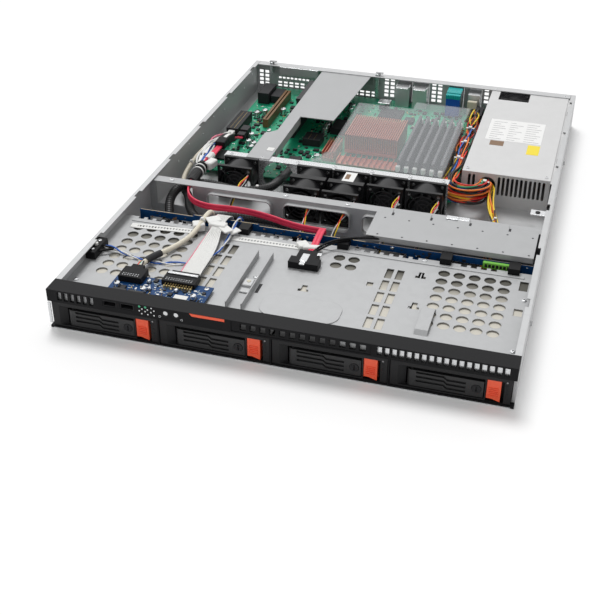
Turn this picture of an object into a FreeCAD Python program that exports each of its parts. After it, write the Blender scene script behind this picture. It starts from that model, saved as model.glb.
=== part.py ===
import FreeCAD, Part
import math
import os
import Sketcher
from FreeCAD import Vector

# Open 1U rack server, cover off: four hot-swap drive carriers, fan row, board, riser and power supply.
# The origin is the bottom centre of the case. +Z is up, the bezel faces -Y and +X is its right-hand end.
# Lengths are millimetres. Depths run back from the bezel's face, or forward from the rear panel.
SIZES = {
    # Case: folded tray, flanges and rail studs
    "case_width": 430.0, "case_depth": 610.0, "case_height": 42.0, "steel": 1.0, "flange_width": 6.0,
    "tray_setback": 6.0, "wall_lip": 2.0, "notch_length": 14.0, "notch_depth": 3.0, "notch_pitch": 95.0,
    "notch_start": 96.0, "stud_radius": 2.5, "stud_length": 2.0, "stud_height": 21.0,
    "stud_front": 102.0, "stud_spacing": 348.0, "slide_gap": 0.3, "running_gap": 0.1,
    # Bezel
    "bezel_wall": 2.5, "bezel_depth": 19.0, "bezel_top": 1.6, "mullion": 1.5, "vent_width": 4.2,
    "vent_height": 8.8, "vent_pitch": 6.38, "vent_base": 31.6, "left_vent_margin": 10.6,
    "right_vent_margin": 6.84, "door_left": -36.0, "door_right": 90.0, "door_height": 10.4,
    "door_lug": 2.0, "door_vents": -28.0, "door_vent_pitch": 9.0, "door_vent_width": 5.6,
    "door_vent_height": 6.4, "usb_width": 13.2, "usb_height": 5.8, "usb_length": 14.0,
    "usb_first": -152.2, "usb_pitch": 17.0, "usb_wall": 0.6, "button_radius": 2.2, "button_length": 9.0,
    "button_first": -98.0, "button_pitch": 10.0, "button_height": 37.0, "button_setback": 0.4,
    # Drive bays and carriers
    "bay_side": 1.4, "bay_gap": 2.3, "runner_height": 1.4, "runner_width": 9.0, "carrier_height": 26.2,
    "carrier_front": 19.0, "carrier_setback": 1.0, "rail_length": 148.0, "rail_height": 20.0,
    "rail_wall": 1.0, "rail_lip": 3.0, "rail_lip_height": 0.8, "drive_side": 0.2, "drive_length": 146.0,
    "drive_height": 25.0, "drive_gap": 2.0, "well_left": -38.5, "well_right": 29.5, "well_margin": 1.5,
    "well_height": 17.3, "well_depth": 13.0, "funnel_width": 7.0, "funnel_depth": 4.0,
    "lever_thickness": 8.0, "lever_setback": 1.0, "pin_radius": 1.5, "pin_reach": 0.9,
    "lever_slot": 2.2, "lever_slot_pitch": 4.4, "lever_slot_depth": 2.0, "lock_radius": 4.0,
    "lock_offset": 7.0, "lock_length": 6.0, "lock_slot": 1.2, "latch_width": 12.0, "latch_travel": 2.5,
    "latch_height": 19.5, "latch_dip": 2.4, "latch_depth": 8.0, "latch_rib": 0.8, "latch_web": 1.5,
    "latch_base": 2.9, "latch_rib_inset": 2.0, "latch_rib_rise": 3.0,
    # Drive-bay top plate
    "plate_end": 172.0, "hole_radius": 5.6, "hole_pitch": 14.7, "hole_first": 62.0, "hole_right": 127.0,
    "hole_left": -189.5, "pair_left": 23.3, "window_width": 6.8, "window_length": 17.6,
    "window_pitch": 21.7, "window_gap": 10.2, "window_first": 39.6, "window_right": 73.0,
    "window_left": -95.0, "comb_width": 5.7, "comb_depth": 4.0, "comb_pitch": 9.7, "bead_start": 161.0,
    "bead_width": 4.0, "bead_height": 0.8, "rib_height": 7.0, "rib_start": 34.0, "rib_end": 130.0,
    "rib_left": -54.0, "rib_gap": 15.0, "pad_left": -25.0, "pad_right": 50.0, "pad_end": 70.0,
    "pad_height": 0.8, "pad_corner": 14.0, "strap_width": 12.0, "strap_length": 44.0, "strap_rise": 4.0,
    "strap_front": 41.0, "strap_left": 119.0, "key_width": 5.0, "key_length": 11.0, "key_head": 2.5,
    "key_head_length": 4.0, "bead_margin": 12.0,
    # Front panel board and intrusion switch
    "panel_left": -168.0, "panel_right": -73.0, "panel_front": 17.0, "panel_depth": 40.0,
    "panel_rise": 2.4, "board": 1.6, "post_radius": 2.5, "post_inset": 5.0, "switch_length": 30.0,
    "switch_width": 10.0, "switch_height": 8.0, "switch_front": 78.0, "plunger_radius": 2.0,
    "plunger_rise": 2.4,
    # Backplane
    "backplane_front": 180.0, "backplane_left_gap": 13.0, "backplane_right_gap": 5.0,
    "backplane_top": 34.5, "backplane_tab": 36.4, "tab_left": -141.0, "tab_right": -70.0,
    "port_width": 44.0, "port_height": 8.0, "port_base": 6.0, "port_gap": 0.6, "clip_width": 11.0,
    "clip_height": 6.6, "clip_depth": 14.0, "vent_slot_width": 62.0, "vent_slot_height": 10.0,
    "vent_slot_base": 18.0,
    # Fan wall, cross rail, cover plate and fans
    "wall_to_fans": 82.0, "wall_height": 40.0, "wall_window_width": 72.0, "wall_window_height": 22.0,
    "wall_window_base": 13.0, "wall_window_pitch": 86.2, "wall_window_first": -110.0,
    "window_corner": 6.0, "window_return": 6.0, "crossbar_depth": 12.0, "crossbar_lip": 3.0,
    "cable_gap_side": 8.0, "cable_gap_width": 42.0, "cover_gap": 7.0, "cover_width": 166.0,
    "cover_reach": 52.0, "cover_lip": 5.0, "hook_width": 12.0, "hook_depth": 8.0, "hook_first": 4.0,
    "hook_pitch": 40.0, "fan_size": 40.0, "fan_depth": 28.0, "fan_flange": 4.0, "fan_bore": 18.6,
    "fan_hub": 10.5, "fan_pitch": 42.9, "fan_first": -135.0, "blade_gap": 0.7, "blade_chord": 11.0,
    "blade_thickness": 0.9, "hub_length": 20.0, "motor_plate": 2.0, "strut_width": 3.0,
    "screw_radius": 1.9, "screw_inset": 4.0, "tray_left": -157.0, "tray_right": 101.0,
    "tray_flange": 12.0, "tray_top": 40.0,
    # Main board, heat sinks, memory, riser and duct
    "board_length": 266.0, "board_margin": 4.0, "board_left": -197.0, "board_right": 103.0,
    "board_rise": 6.0, "fan_clearance": 22.0, "sink_left": -41.5, "sink_width": 64.0,
    "sink_back": 126.0, "sink_length": 62.0, "sink_top": 36.0, "sink_base": 4.0, "fin_thickness": 0.9,
    "fin_count": 25, "cpu_height": 3.6, "cpu_margin": 11.0, "low_sink_front": 54.0,
    "low_sink_length": 22.0, "low_sink_height": 6.0, "low_sink_left": -45.0, "low_sink_right": 28.0,
    "chip_sink_size": 15.0, "chip_sink_left": -64.0, "chip_sink_back": 168.0, "chip_sink_length": 42.0,
    "chip_sink_height": 12.0, "dimm_first": 35.0, "dimm_pitch": 9.8, "dimm_back": 106.0,
    "dimm_length": 133.0, "dimm_height": 24.6, "dimm_thickness": 3.2, "socket_width": 6.4,
    "socket_height": 8.0, "socket_end": 5.0, "socket_floor": 2.6, "latch_tower": 16.0,
    "duct_left": -48.0, "duct_right": 91.0, "duct_top": 37.4, "duct_wall": 1.2, "duct_back": 92.0,
    "duct_notch": 70.0, "duct_step": 22.0, "duct_front": 272.0, "duct_flare": 14.0,
    "duct_flare_length": 30.0, "slot_width": 7.5, "slot_height": 11.0, "slot_groove": 6.0,
    "slot_end": 2.0, "slot_length": 100.0, "slot_x": -158.0, "slot_back": 38.0, "riser_x": -118.0,
    "riser_back": 22.0,
    "riser_length": 165.0, "riser_slot_length": 110.0, "riser_port_depth": 9.0,
    "riser_port_height": 8.0, "riser_port_length": 66.0, "riser_port_back": 36.0, "bracket_width": 15.0,
    "bracket_foot": 12.0, "bracket_foot_length": 68.0, "bracket_plate": 53.0, "bracket_taper": 11.0,
    "bracket_plate_length": 163.0, "bracket_web": 9.0,
    # Rear panel, slot covers, ports and power supply
    "rear_flange": 12.0, "tab_reach": 8.0, "cover_height": 14.0, "cover_base": 26.0,
    "cover_one_left": -186.0, "cover_one_width": 54.0, "cover_two_left": -104.0,
    "cover_two_width": 54.0, "cover_rim": 1.2, "port_depth": 22.0, "port_wall": 1.2, "lan_width": 18.6,
    "lan_height": 28.0, "lan_first": -6.0, "lan_pitch": 23.0, "dsub_width": 18.4, "dsub_height": 11.0,
    "dsub_x": 63.0, "vga_height": 19.0, "stack_x": 88.0, "stack_width": 15.0, "stack_height": 27.0,
    "mouth_depth": 10.0, "psu_gap": 7.0, "psu_width": 97.0, "psu_length": 253.0, "psu_height": 40.0,
    "psu_wall": 1.0, "psu_slot": 2.9, "psu_slot_pitch": 4.9, "psu_slot_height": 22.0,
    "psu_slot_base": 16.0, "psu_slots_left": 41.5, "psu_pair_left": 8.5, "grommet_radius": 9.5,
    "grommet_x": 28.5, "grommet_z": 27.0, "psu_window_left": 11.0, "psu_window_width": 38.0,
    "psu_window_back": 9.0, "psu_window_length": 29.0, "psu_fan_x": 30.0, "psu_fan_size": 36.0,
    "psu_fan_bore": 16.6, "inlet_x": 76.0, "inlet_width": 28.0, "inlet_height": 21.0,
    "inlet_depth": 22.0, "inlet_z": 21.0, "inlet_wall": 2.4, "inlet_recess": 15.0,
    "blade_width": 4.0, "blade_pitch": 7.0,
    # Cords
    "usb_cord": 2.2, "loom": 4.0, "wire": 1.2, "bundle": 2.9, "floor_bundle": 2.3, "fan_lead": 1.1,
    "ribbon": 1.0, "ribbon_width": 20.0, "sata_width": 7.0, "sata_thickness": 2.2,
}
BAYS = 4
LEFT_VENTS, RIGHT_VENTS, DOOR_VENTS = 6, 18, 13
HOLE_COLUMNS, HOLE_ROWS = 5, 7
WALL_WINDOWS = 4
FAN_SLOTS = 6
EMPTY_FAN_SLOT = 1
TWIN_FAN_SLOTS = (2, 3)
DIMMS = 6
LOW_SINK_FINS, CHIP_SINK_FINS = 12, 5
BLADES = 7
# Impeller blade: angle to the hub's end and share of the chord, at the root and the tip
ROOT_DEPTH, ROOT_PITCH, ROOT_CHORD = 0.5, 58.0, 0.8
TIP_PITCH, TIP_CHORD = 36.0, 1.15
COVER_HOOKS = 4
NOTCHES = 6
LEVER_SLOTS, LATCH_RIBS = 3, 5
PLATE_WINDOWS = 5
# Comb teeth along the bay plate: first tooth and count of each run
COMB_RUNS = [(-198.0, 7), (-70.0, 5), (34.0, 7), (140.0, 4)]
# Plain slots in the bay plate as left edge, front, width and length, and keyed ones as left edge and front
PLATE_SLOTS = [(60.0, 108.0, 6.0, 7.0), (199.0, 140.0, 8.0, 17.0), (199.0, 96.0, 8.0, 12.0)]
KEY_SLOTS = [(104.0, 135.0), (108.0, 81.0), (3.0, 81.0), (-108.0, 136.0)]

doc = FreeCAD.newDocument("RackServer")
sheet = doc.addObject("Spreadsheet::Sheet", "dims")
for row, (alias, number) in enumerate(SIZES.items(), start=1):
    sheet.set(f"A{row}", alias)
    sheet.set(f"B{row}", str(number))
    sheet.setAlias(f"B{row}", alias)
doc.recompute()


class Size:
    """A length as a number and as the sheet formula that drives it."""

    def __init__(self, number, formula):
        self.number = float(number)
        self.formula = formula

    def __add__(self, other):
        other = size(other)
        return Size(self.number + other.number, f"({self.formula} + {other.formula})")

    def __sub__(self, other):
        other = size(other)
        return Size(self.number - other.number, f"({self.formula} - {other.formula})")

    def __mul__(self, factor):
        return Size(self.number * factor, f"({self.formula} * {factor})")

    def __truediv__(self, divisor):
        return Size(self.number / divisor, f"({self.formula} / {divisor})")

    def __neg__(self):
        return Size(-self.number, f"(0 - {self.formula})")

    def __radd__(self, other):
        return size(other) + self

    def __rsub__(self, other):
        return size(other) - self

    def __float__(self):
        return self.number


def size(value):
    """Any number as a Size."""
    return value if isinstance(value, Size) else Size(value, f"({value})")


class Dims:
    """The sheet's cells by name."""

    def __getattr__(self, alias):
        return Size(SIZES[alias], f"dims.{alias}")


d = Dims()
nodes = {}

HALF = d.case_width / 2
FRONT = -(d.case_depth + d.tab_reach) / 2
REAR = FRONT + d.case_depth
WALL = HALF - d.steel
CARRIER_BASE = d.steel + d.runner_height + d.slide_gap
CARRIER_TOP = CARRIER_BASE + d.carrier_height
PLATE = CARRIER_TOP + d.slide_gap
PLATE_TOP = PLATE + d.steel
BOARD_BACK = REAR - d.board_margin
BOARD_FRONT = BOARD_BACK - d.board_length
BOARD_TOP = d.steel + d.board_rise + d.board
FAN_BACK = BOARD_FRONT - d.fan_clearance
FAN_FRONT = FAN_BACK - d.fan_depth
WALL_FRONT = FAN_BACK - d.wall_to_fans
FAN_Z = d.steel + d.fan_size / 2
BACKPLANE = FRONT + d.backplane_front
BACKPLANE_BACK = BACKPLANE + d.board
PSU_FRONT = REAR - d.steel - d.psu_length
PANEL_TOP = PLATE_TOP + d.panel_rise + d.board
BAY_PITCH = (WALL - d.bay_side) * 2 / BAYS
CARRIER_WIDTH = BAY_PITCH - d.bay_gap
DRIVE_WIDTH = CARRIER_WIDTH - (d.rail_wall + d.drive_side) * 2
COVER_RIGHT = WALL - d.cover_gap
COVER_LEFT = COVER_RIGHT - d.cover_width
PSU_LEFT = WALL - d.psu_gap - d.psu_width
PSU_FAN_X = PSU_LEFT + d.psu_fan_x
INLET_X = PSU_LEFT + d.inlet_x


def bind(item, prop, value):
    """Drive one property from the sheet."""
    item.setExpression(prop, size(value).formula)


def bind_place(item, x, y, z):
    """Drive an object's position from the sheet."""
    bind(item, "Placement.Base.x", x)
    bind(item, "Placement.Base.y", y)
    bind(item, "Placement.Base.z", z)


def node(name, item):
    """Give an object its name as a sub-part."""
    item.Label = name
    nodes[name] = item
    return item


def box(x0, x1, y0, y1, z0, z1):
    """A block between two corners."""
    item = doc.addObject("Part::Box", "Block")
    bind(item, "Length", size(x1) - x0)
    bind(item, "Width", size(y1) - y0)
    bind(item, "Height", size(z1) - z0)
    bind_place(item, x0, y0, z0)
    return item


AXES = {"X": Vector(0, 1, 0), "Y": Vector(-1, 0, 0), "Z": Vector(0, 0, 1)}


def cylinder(axis, x, y, z, radius, length):
    """A round bar that starts at a point and runs along +X, +Y or +Z."""
    item = doc.addObject("Part::Cylinder", "Round")
    bind(item, "Radius", radius)
    bind(item, "Height", length)
    angle = 0 if axis == "Z" else 90
    item.Placement = FreeCAD.Placement(Vector(), FreeCAD.Rotation(AXES[axis], angle))
    bind_place(item, x, y, z)
    return item


def fuse(*items):
    """One solid from several that meet."""
    if len(items) == 1:
        return items[0]
    joined = doc.addObject("Part::MultiFuse", "Joined")
    joined.Shapes = list(items)
    joined.Refine = True
    return joined


def group(*items):
    """Several separate solids as one object."""
    joined = doc.addObject("Part::Compound", "Group")
    joined.Links = list(items)
    return joined


def cut(base, *tools):
    """A solid less its cuts, which stand apart from each other."""
    result = doc.addObject("Part::Cut", "Cut")
    result.Base = base
    result.Tool = tools[0] if len(tools) == 1 else group(*tools)
    return result


def body(name):
    """An empty body that becomes a sub-part."""
    return node(name, doc.addObject("PartDesign::Body", "Body"))


def rect(x0, x1, y0, y1):
    """A rectangle as a loop of corners."""
    return [(x0, y0), (x1, y0), (x1, y1), (x0, y1)]


def add_loop(item, points, radius=None):
    """A closed loop in a sketch, every corner placed from the sheet, square ones rounded by a radius."""
    points = [(size(x), size(y)) for x, y in points]
    count = len(points)
    runs = []
    for index, start in enumerate(points):
        end = points[(index + 1) % count]
        if radius is None:
            runs.append((start, end))
            continue
        inset = [radius * (1 if float(b) > float(a) else -1 if float(b) < float(a) else 0)
                 for a, b in zip(start, end)]
        runs.append((tuple(a + s for a, s in zip(start, inset)), tuple(b - s for b, s in zip(end, inset))))
    lines = []
    driven = []
    for start, end in runs:
        ends = [Vector(float(x), float(y), 0) for x, y in (start, end)]
        lines.append(item.addGeometry(Part.LineSegment(*ends), False))
    for line, (start, end) in zip(lines, runs):
        driven.append((line, 1, start))
        if radius is not None:
            driven.append((line, 2, end))
    for line, spot, (x, y) in driven:
        for kind, value in (("DistanceX", x), ("DistanceY", y)):
            place = item.addConstraint(Sketcher.Constraint(kind, -1, 1, line, spot, float(value)))
            bind(item, f"Constraints[{place}]", value)
    for index, line in enumerate(lines):
        following = lines[(index + 1) % count]
        if radius is None:
            item.addConstraint(Sketcher.Constraint("Coincident", line, 2, following, 1))
            continue
        add_corner(item, line, following, runs[index][1], runs[(index + 1) % count][0], points, index,
                   radius)


def add_corner(item, line, following, start, end, points, index, radius):
    """A quarter arc between two square runs of a loop."""
    corner = [float(v) for v in points[(index + 1) % len(points)]]
    first = Vector(float(start[0]), float(start[1]), 0)
    last = Vector(float(end[0]), float(end[1]), 0)
    centre = first + last - Vector(corner[0], corner[1], 0)
    middle = centre + (Vector(corner[0], corner[1], 0) - centre) / math.sqrt(2)
    arc = item.addGeometry(Part.Arc(first, middle, last), False)
    turned = (item.getPoint(arc, 1) - first).Length > float(radius) / 2
    near, far = (2, 1) if turned else (1, 2)
    item.addConstraint(Sketcher.Constraint("Coincident", line, 2, arc, near))
    item.addConstraint(Sketcher.Constraint("Coincident", following, 1, arc, far))
    place = item.addConstraint(Sketcher.Constraint("Radius", arc, float(radius)))
    bind(item, f"Constraints[{place}]", radius)


def add_circle(item, x, y, radius):
    """A circle in a sketch."""
    circle = item.addGeometry(Part.Circle(Vector(float(x), float(y), 0), Vector(0, 0, 1),
                                          float(radius)), False)
    for kind, value in (("DistanceX", x), ("DistanceY", y)):
        place = item.addConstraint(Sketcher.Constraint(kind, -1, 1, circle, 3, float(value)))
        bind(item, f"Constraints[{place}]", value)
    place = item.addConstraint(Sketcher.Constraint("Radius", circle, float(radius)))
    bind(item, f"Constraints[{place}]", radius)


def sketch(owner, plane, level, loops=(), circles=(), radius=None):
    """A sketch on one of a body's own planes, moved along that plane's axis to a level."""
    item = owner.newObject("Sketcher::SketchObject", "Sketch")
    support = next(f for f in owner.Origin.OriginFeatures if f.Role == f"{plane}_Plane")
    item.AttachmentSupport = (support, [""])
    item.MapMode = "FlatFace"
    bind(item, "AttachmentOffset.Base.z", -size(level) if plane == "XZ" else level)
    for loop in loops:
        add_loop(item, loop, radius)
    for circle in circles:
        add_circle(item, *circle)
    return item


def extrude(owner, kind, outline, length, forward):
    """A pad or a pocket that runs along its plane's axis, forward or back."""
    item = owner.newObject(f"PartDesign::{kind}", kind)
    item.Profile = outline
    item.Refine = False
    bind(item, "Length", length)
    along_normal = "XZ_Plane" not in outline.AttachmentSupport[0][0].Role
    adds = kind == "Pad"
    item.Reversed = forward != (along_normal == adds)
    owner.Tip = item
    return item


def pad(owner, plane, level, length, loops=(), circles=(), forward=True, radius=None):
    """Material added from a level of one plane."""
    return extrude(owner, "Pad", sketch(owner, plane, level, loops, circles, radius), length, forward)


def pocket(owner, plane, level, length, loops=(), circles=(), forward=True, radius=None):
    """Material taken away from a level of one plane."""
    return extrude(owner, "Pocket", sketch(owner, plane, level, loops, circles, radius), length, forward)


def pattern(owner, feature, count, step, axis="H_Axis"):
    """Evenly spaced repeats of a feature along one axis of its sketch."""
    item = owner.newObject("PartDesign::LinearPattern", "Pattern")
    item.Originals = [feature]
    item.Refine = False
    item.Direction = (feature.Profile[0], [axis])
    item.Occurrences = count
    bind(item, "Length", step * (count - 1))
    owner.Tip = item


def solid(shape):
    """A shape set from the sheet's numbers where no feature fits."""
    item = doc.addObject("Part::Feature", "Form")
    item.Shape = shape
    return item


def make_chassis_tray():
    """Floor and side walls folded from one sheet, with cover flanges, front lips and rail studs."""
    tray = body("chassis_tray")
    start = FRONT + d.tray_setback
    inner = WALL
    flange = HALF - d.flange_width
    top = d.case_height
    profile = [(-HALF, 0), (HALF, 0), (HALF, top), (flange, top), (flange, top - d.steel),
               (inner, top - d.steel), (inner, d.steel), (-inner, d.steel), (-inner, top - d.steel),
               (-flange, top - d.steel), (-flange, top), (-HALF, top)]
    pad(tray, "XZ", start, REAR - d.steel - start, [profile])
    pad(tray, "XZ", start, d.steel, [rect(-inner, -inner + d.wall_lip, d.steel, PLATE),
                                     rect(inner - d.wall_lip, inner, d.steel, PLATE)])
    pocket(tray, "YZ", -HALF, d.case_width,
           [rect(start, FRONT + d.bezel_depth + d.slide_gap, PLATE, top)])
    first = FRONT + d.notch_start
    notches = pocket(tray, "XY", top - d.steel, d.steel,
                     [rect(-flange - d.notch_depth, -flange, first, first + d.notch_length),
                      rect(flange, flange + d.notch_depth, first, first + d.notch_length)])
    pattern(tray, notches, NOTCHES, d.notch_pitch, "V_Axis")
    studs = [(FRONT + d.stud_front + d.stud_spacing * step, d.stud_height, d.stud_radius)
             for step in (0, 1)]
    pad(tray, "YZ", HALF, d.stud_length, circles=studs)
    pad(tray, "YZ", -HALF, d.stud_length, circles=studs, forward=False)


# Rear vent grids: left edge, base, columns, rows, cell width, cell height, column step, row step
VENT_GRIDS = [(-210.5, 9.5, 2, 4, 5.6, 3.9, 8.0, 5.6), (-184.0, 9.5, 5, 2, 5.6, 2.6, 8.0, 4.4),
              (-183.0, 20.6, 8, 1, 4.0, 2.6, 5.6, 4.0), (-84.0, 9.5, 5, 2, 5.6, 2.6, 8.0, 4.4),
              (-34.5, 12.0, 2, 5, 5.6, 3.9, 8.0, 5.6), (29.5, 12.0, 2, 5, 5.6, 3.9, 8.0, 5.6),
              (99.0, 18.0, 1, 4, 5.6, 3.9, 8.0, 5.6)]


def make_rear_panel():
    """Rear wall with its vent grids, slot, port and power openings, and a flange for the cover."""
    panel = doc.addObject("PartDesign::Body", "Body")
    inside = REAR - d.steel
    pad(panel, "XZ", inside, d.steel, [rect(-HALF, HALF, 0, d.case_height)])
    flange = HALF - d.flange_width - d.slide_gap
    pad(panel, "XZ", inside - d.rear_flange + d.steel, d.rear_flange - d.steel,
        [rect(-flange, flange, d.case_height - d.steel, d.case_height)])
    openings = []
    for left, base, columns, rows, width, height, step_x, step_z in VENT_GRIDS:
        for column in range(columns):
            for row in range(rows):
                x, z = left + step_x * column, base + step_z * row
                openings.append((x, x + width, z, z + height))
    rim = d.cover_rim
    for left, width in slot_covers():
        openings.append((left + rim, left + width - rim, d.cover_base + rim,
                         d.cover_base + d.cover_height - rim))
    gap = d.slide_gap
    for x, width, base, top in rear_port_fronts():
        openings.append((x - width / 2 - gap, x + width / 2 + gap, base - gap, top + gap))
    margin = d.psu_wall * 3
    openings.append((PSU_LEFT + margin, PSU_LEFT + d.psu_width - margin, d.steel + margin,
                     d.steel + d.psu_height - margin))
    node("rear_panel", cut(panel, *[box(x0, x1, inside, REAR, z0, z1) for x0, x1, z0, z1 in openings]))


def slot_covers():
    """Left edge and width of each expansion slot's cover."""
    return (d.cover_one_left, d.cover_one_width), (d.cover_two_left, d.cover_two_width)


def rear_port_fronts():
    """Each rear port stack as its middle, width, underside and top."""
    lan_top = BOARD_TOP + d.lan_height
    vga_top = BOARD_TOP + d.vga_height
    return [(d.lan_first, d.lan_width, BOARD_TOP, lan_top),
            (d.lan_first + d.lan_pitch, d.lan_width, BOARD_TOP, lan_top),
            (d.dsub_x, d.dsub_width, BOARD_TOP, vga_top + d.dsub_height),
            (d.stack_x, d.stack_width, BOARD_TOP, BOARD_TOP + d.stack_height)]


def make_front_bezel():
    """Moulded bezel: a vented bar over the bays and thin mullions between them, on a separate sill."""
    bezel = doc.addObject("PartDesign::Body", "Body")
    top = d.case_height
    sill = d.steel + d.runner_height
    pad(bezel, "XZ", FRONT, d.bezel_wall, [rect(-HALF, HALF, sill, top)])
    pad(bezel, "XY", top, d.bezel_top, [rect(-HALF, HALF, FRONT, FRONT + d.bezel_depth)], forward=False)
    opening = BAY_PITCH - d.mullion
    first = -BAY_PITCH * ((BAYS - 1) / 2) - opening / 2
    bay = pocket(bezel, "XZ", FRONT, d.bezel_wall, [rect(first, first + opening, sill, PLATE)])
    pattern(bezel, bay, BAYS, BAY_PITCH)
    edge = BAY_PITCH * (BAYS / 2) - d.mullion
    pocket(bezel, "XZ", FRONT, d.bezel_wall, [rect(-HALF, -edge, sill, PLATE),
                                              rect(edge, HALF, sill, PLATE)])
    right_first = HALF - d.right_vent_margin - d.vent_width - d.vent_pitch * (RIGHT_VENTS - 1)
    for left, count in ((d.left_vent_margin - HALF, LEFT_VENTS), (right_first, RIGHT_VENTS)):
        window = rect(left, left + d.vent_width, d.vent_base, d.vent_base + d.vent_height)
        vents = pocket(bezel, "XZ", FRONT, d.bezel_wall, [window])
        pattern(bezel, vents, count, d.vent_pitch)
    gap = d.slide_gap / 2
    door = rect(d.door_left - gap, d.door_right + gap, d.vent_base - gap - d.bezel_top / 2,
                d.vent_base + d.door_height - d.bezel_top / 2)
    sockets = [rect(x - d.usb_width / 2 - gap, x + d.usb_width / 2 + gap, PANEL_TOP - gap,
                    PANEL_TOP + d.usb_height + gap) for x in usb_middles()]
    buttons = [(x, d.button_height, d.button_radius + gap) for x in button_middles()]
    pocket(bezel, "XZ", FRONT, d.bezel_wall, [door] + sockets, buttons)
    node("front_bezel", group(bezel, box(-HALF, HALF, FRONT, FRONT + d.tray_setback, 0, sill)))


def usb_middles():
    """The two front ports' middles across the bezel."""
    return [d.usb_first + d.usb_pitch * step for step in (0, 1)]


def button_middles():
    """The two push-buttons' middles across the bezel."""
    return [d.button_first + d.button_pitch * step for step in (0, 1)]


def make_optical_bay_door():
    """Slim blanking door in the bezel, with a row of windows and two side lugs behind the bezel wall."""
    door = body("optical_bay_door")
    base = d.vent_base - d.bezel_top / 2
    top = base + d.door_height - d.slide_gap / 2
    pad(door, "XZ", FRONT + d.button_setback, d.bezel_wall - d.button_setback,
        [rect(d.door_left, d.door_right, base, top)])
    lug = d.bezel_wall * 1.2
    pad(door, "XZ", FRONT + d.bezel_wall, d.door_lug,
        [rect(d.door_left - lug, d.door_right + lug, base + d.bezel_wall, top - d.bezel_wall)])
    low = base + (d.door_height - d.door_vent_height) / 2
    window = rect(d.door_vents, d.door_vents + d.door_vent_width, low, low + d.door_vent_height)
    vents = pocket(door, "XZ", FRONT, d.bezel_wall + d.door_lug, [window])
    pattern(door, vents, DOOR_VENTS, d.door_vent_pitch)


def make_buttons():
    """Two round push-buttons that travel into the bezel."""
    for name, x in zip(("power_button", "locator_button"), button_middles()):
        node(name, cylinder("Y", x, FRONT + d.button_setback, d.button_height, d.button_radius,
                            d.button_length))


def make_bay_dividers():
    """Sheet dividers on foot flanges that guide the carriers, and a runner along each side wall."""
    start = FRONT + d.bezel_depth + d.slide_gap
    end = FRONT + d.plate_end
    pieces = []
    for step in range(1, BAYS):
        x = BAY_PITCH * (step - BAYS / 2)
        foot = box(x - d.runner_width / 2, x + d.runner_width / 2, start, end, d.steel,
                   d.steel + d.runner_height)
        web = box(x - d.steel / 2, x + d.steel / 2, start, end, d.steel, PLATE)
        pieces.append(fuse(foot, web))
    for x in (-WALL, WALL - d.runner_width):
        pieces.append(box(x, x + d.runner_width, start, end, d.steel, d.steel + d.runner_height))
    node("drive_bay_dividers", group(*pieces))


def make_bay_plate():
    """Stamped plate over the drive bays: hole fields, window columns, bead, comb, ribs, pad and strap."""
    plate = doc.addObject("PartDesign::Body", "Body")
    start = FRONT + d.bezel_depth + d.slide_gap
    pad(plate, "XY", PLATE, d.steel, [rect(-WALL, WALL, start, FRONT + d.plate_end)])
    bead = FRONT + d.bead_start
    pad(plate, "XY", PLATE_TOP, d.bead_height,
        [rect(d.bead_margin - WALL, WALL - d.bead_margin, bead, bead + d.bead_width)])
    pad(plate, "XY", PLATE_TOP, d.pad_height,
        [rect(d.pad_left, d.pad_right, start + d.pad_corner, FRONT + d.pad_end)], radius=d.pad_corner)
    ribs = [rect(x, x + d.steel, FRONT + d.rib_start, FRONT + d.rib_end)
            for x in (d.rib_left, d.rib_left + d.rib_gap)]
    pad(plate, "XY", PLATE_TOP, d.rib_height, ribs)
    strap_end = d.strap_front + d.strap_length
    bridge = [(FRONT + d.strap_front, PLATE_TOP), (FRONT + d.strap_front + d.strap_rise,
                                                   PLATE_TOP + d.strap_rise),
              (FRONT + strap_end - d.strap_rise, PLATE_TOP + d.strap_rise),
              (FRONT + strap_end, PLATE_TOP), (FRONT + strap_end - d.steel * 2, PLATE_TOP),
              (FRONT + strap_end - d.strap_rise - d.steel, PLATE_TOP + d.strap_rise - d.steel),
              (FRONT + d.strap_front + d.strap_rise + d.steel, PLATE_TOP + d.strap_rise - d.steel),
              (FRONT + d.strap_front + d.steel * 2, PLATE_TOP)]
    pad(plate, "YZ", d.strap_left, d.strap_width, [bridge])
    node("drive_bay_top", cut(plate, *plate_holes()))


def plate_holes():
    """Every through cut of the bay plate: round fields, window columns, the rear comb and its slots."""
    tools = []
    fields = [(d.hole_right, 0, HOLE_COLUMNS, HOLE_ROWS), (d.hole_left, 0, HOLE_COLUMNS, HOLE_ROWS),
              (d.pair_left, HOLE_ROWS - 2, 2, 2)]
    for left, first_row, columns, rows in fields:
        for column in range(columns):
            for row in range(first_row, first_row + rows):
                tools.append(cylinder("Z", left + d.hole_pitch * column,
                                      FRONT + d.hole_first + d.hole_pitch * row, PLATE, d.hole_radius,
                                      d.steel))
    for left in (d.window_right, d.window_right + d.window_gap, d.window_left,
                 d.window_left + d.window_gap):
        for row in range(PLATE_WINDOWS):
            start = FRONT + d.window_first + d.window_pitch * row
            tools.append(box(left, left + d.window_width, start, start + d.window_length, PLATE, PLATE_TOP))
    end = FRONT + d.plate_end
    for first, count in COMB_RUNS:
        for step in range(count):
            left = first + d.comb_pitch * step
            tools.append(box(left, left + d.comb_width, end - d.comb_depth, end, PLATE, PLATE_TOP))
    for left, front, width, length in PLATE_SLOTS:
        start = FRONT + front
        tools.append(box(left, size(left) + width, start, start + length, PLATE, PLATE_TOP))
    for left, front in KEY_SLOTS:
        start = FRONT + front
        right = left + d.key_width
        stem = box(left, right, start, start + d.key_length, PLATE, PLATE_TOP)
        head = box(left - d.key_head, right + d.key_head, start, start + d.key_head_length, PLATE,
                   PLATE_TOP)
        tools.append(fuse(stem, head))
    return tools


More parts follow.
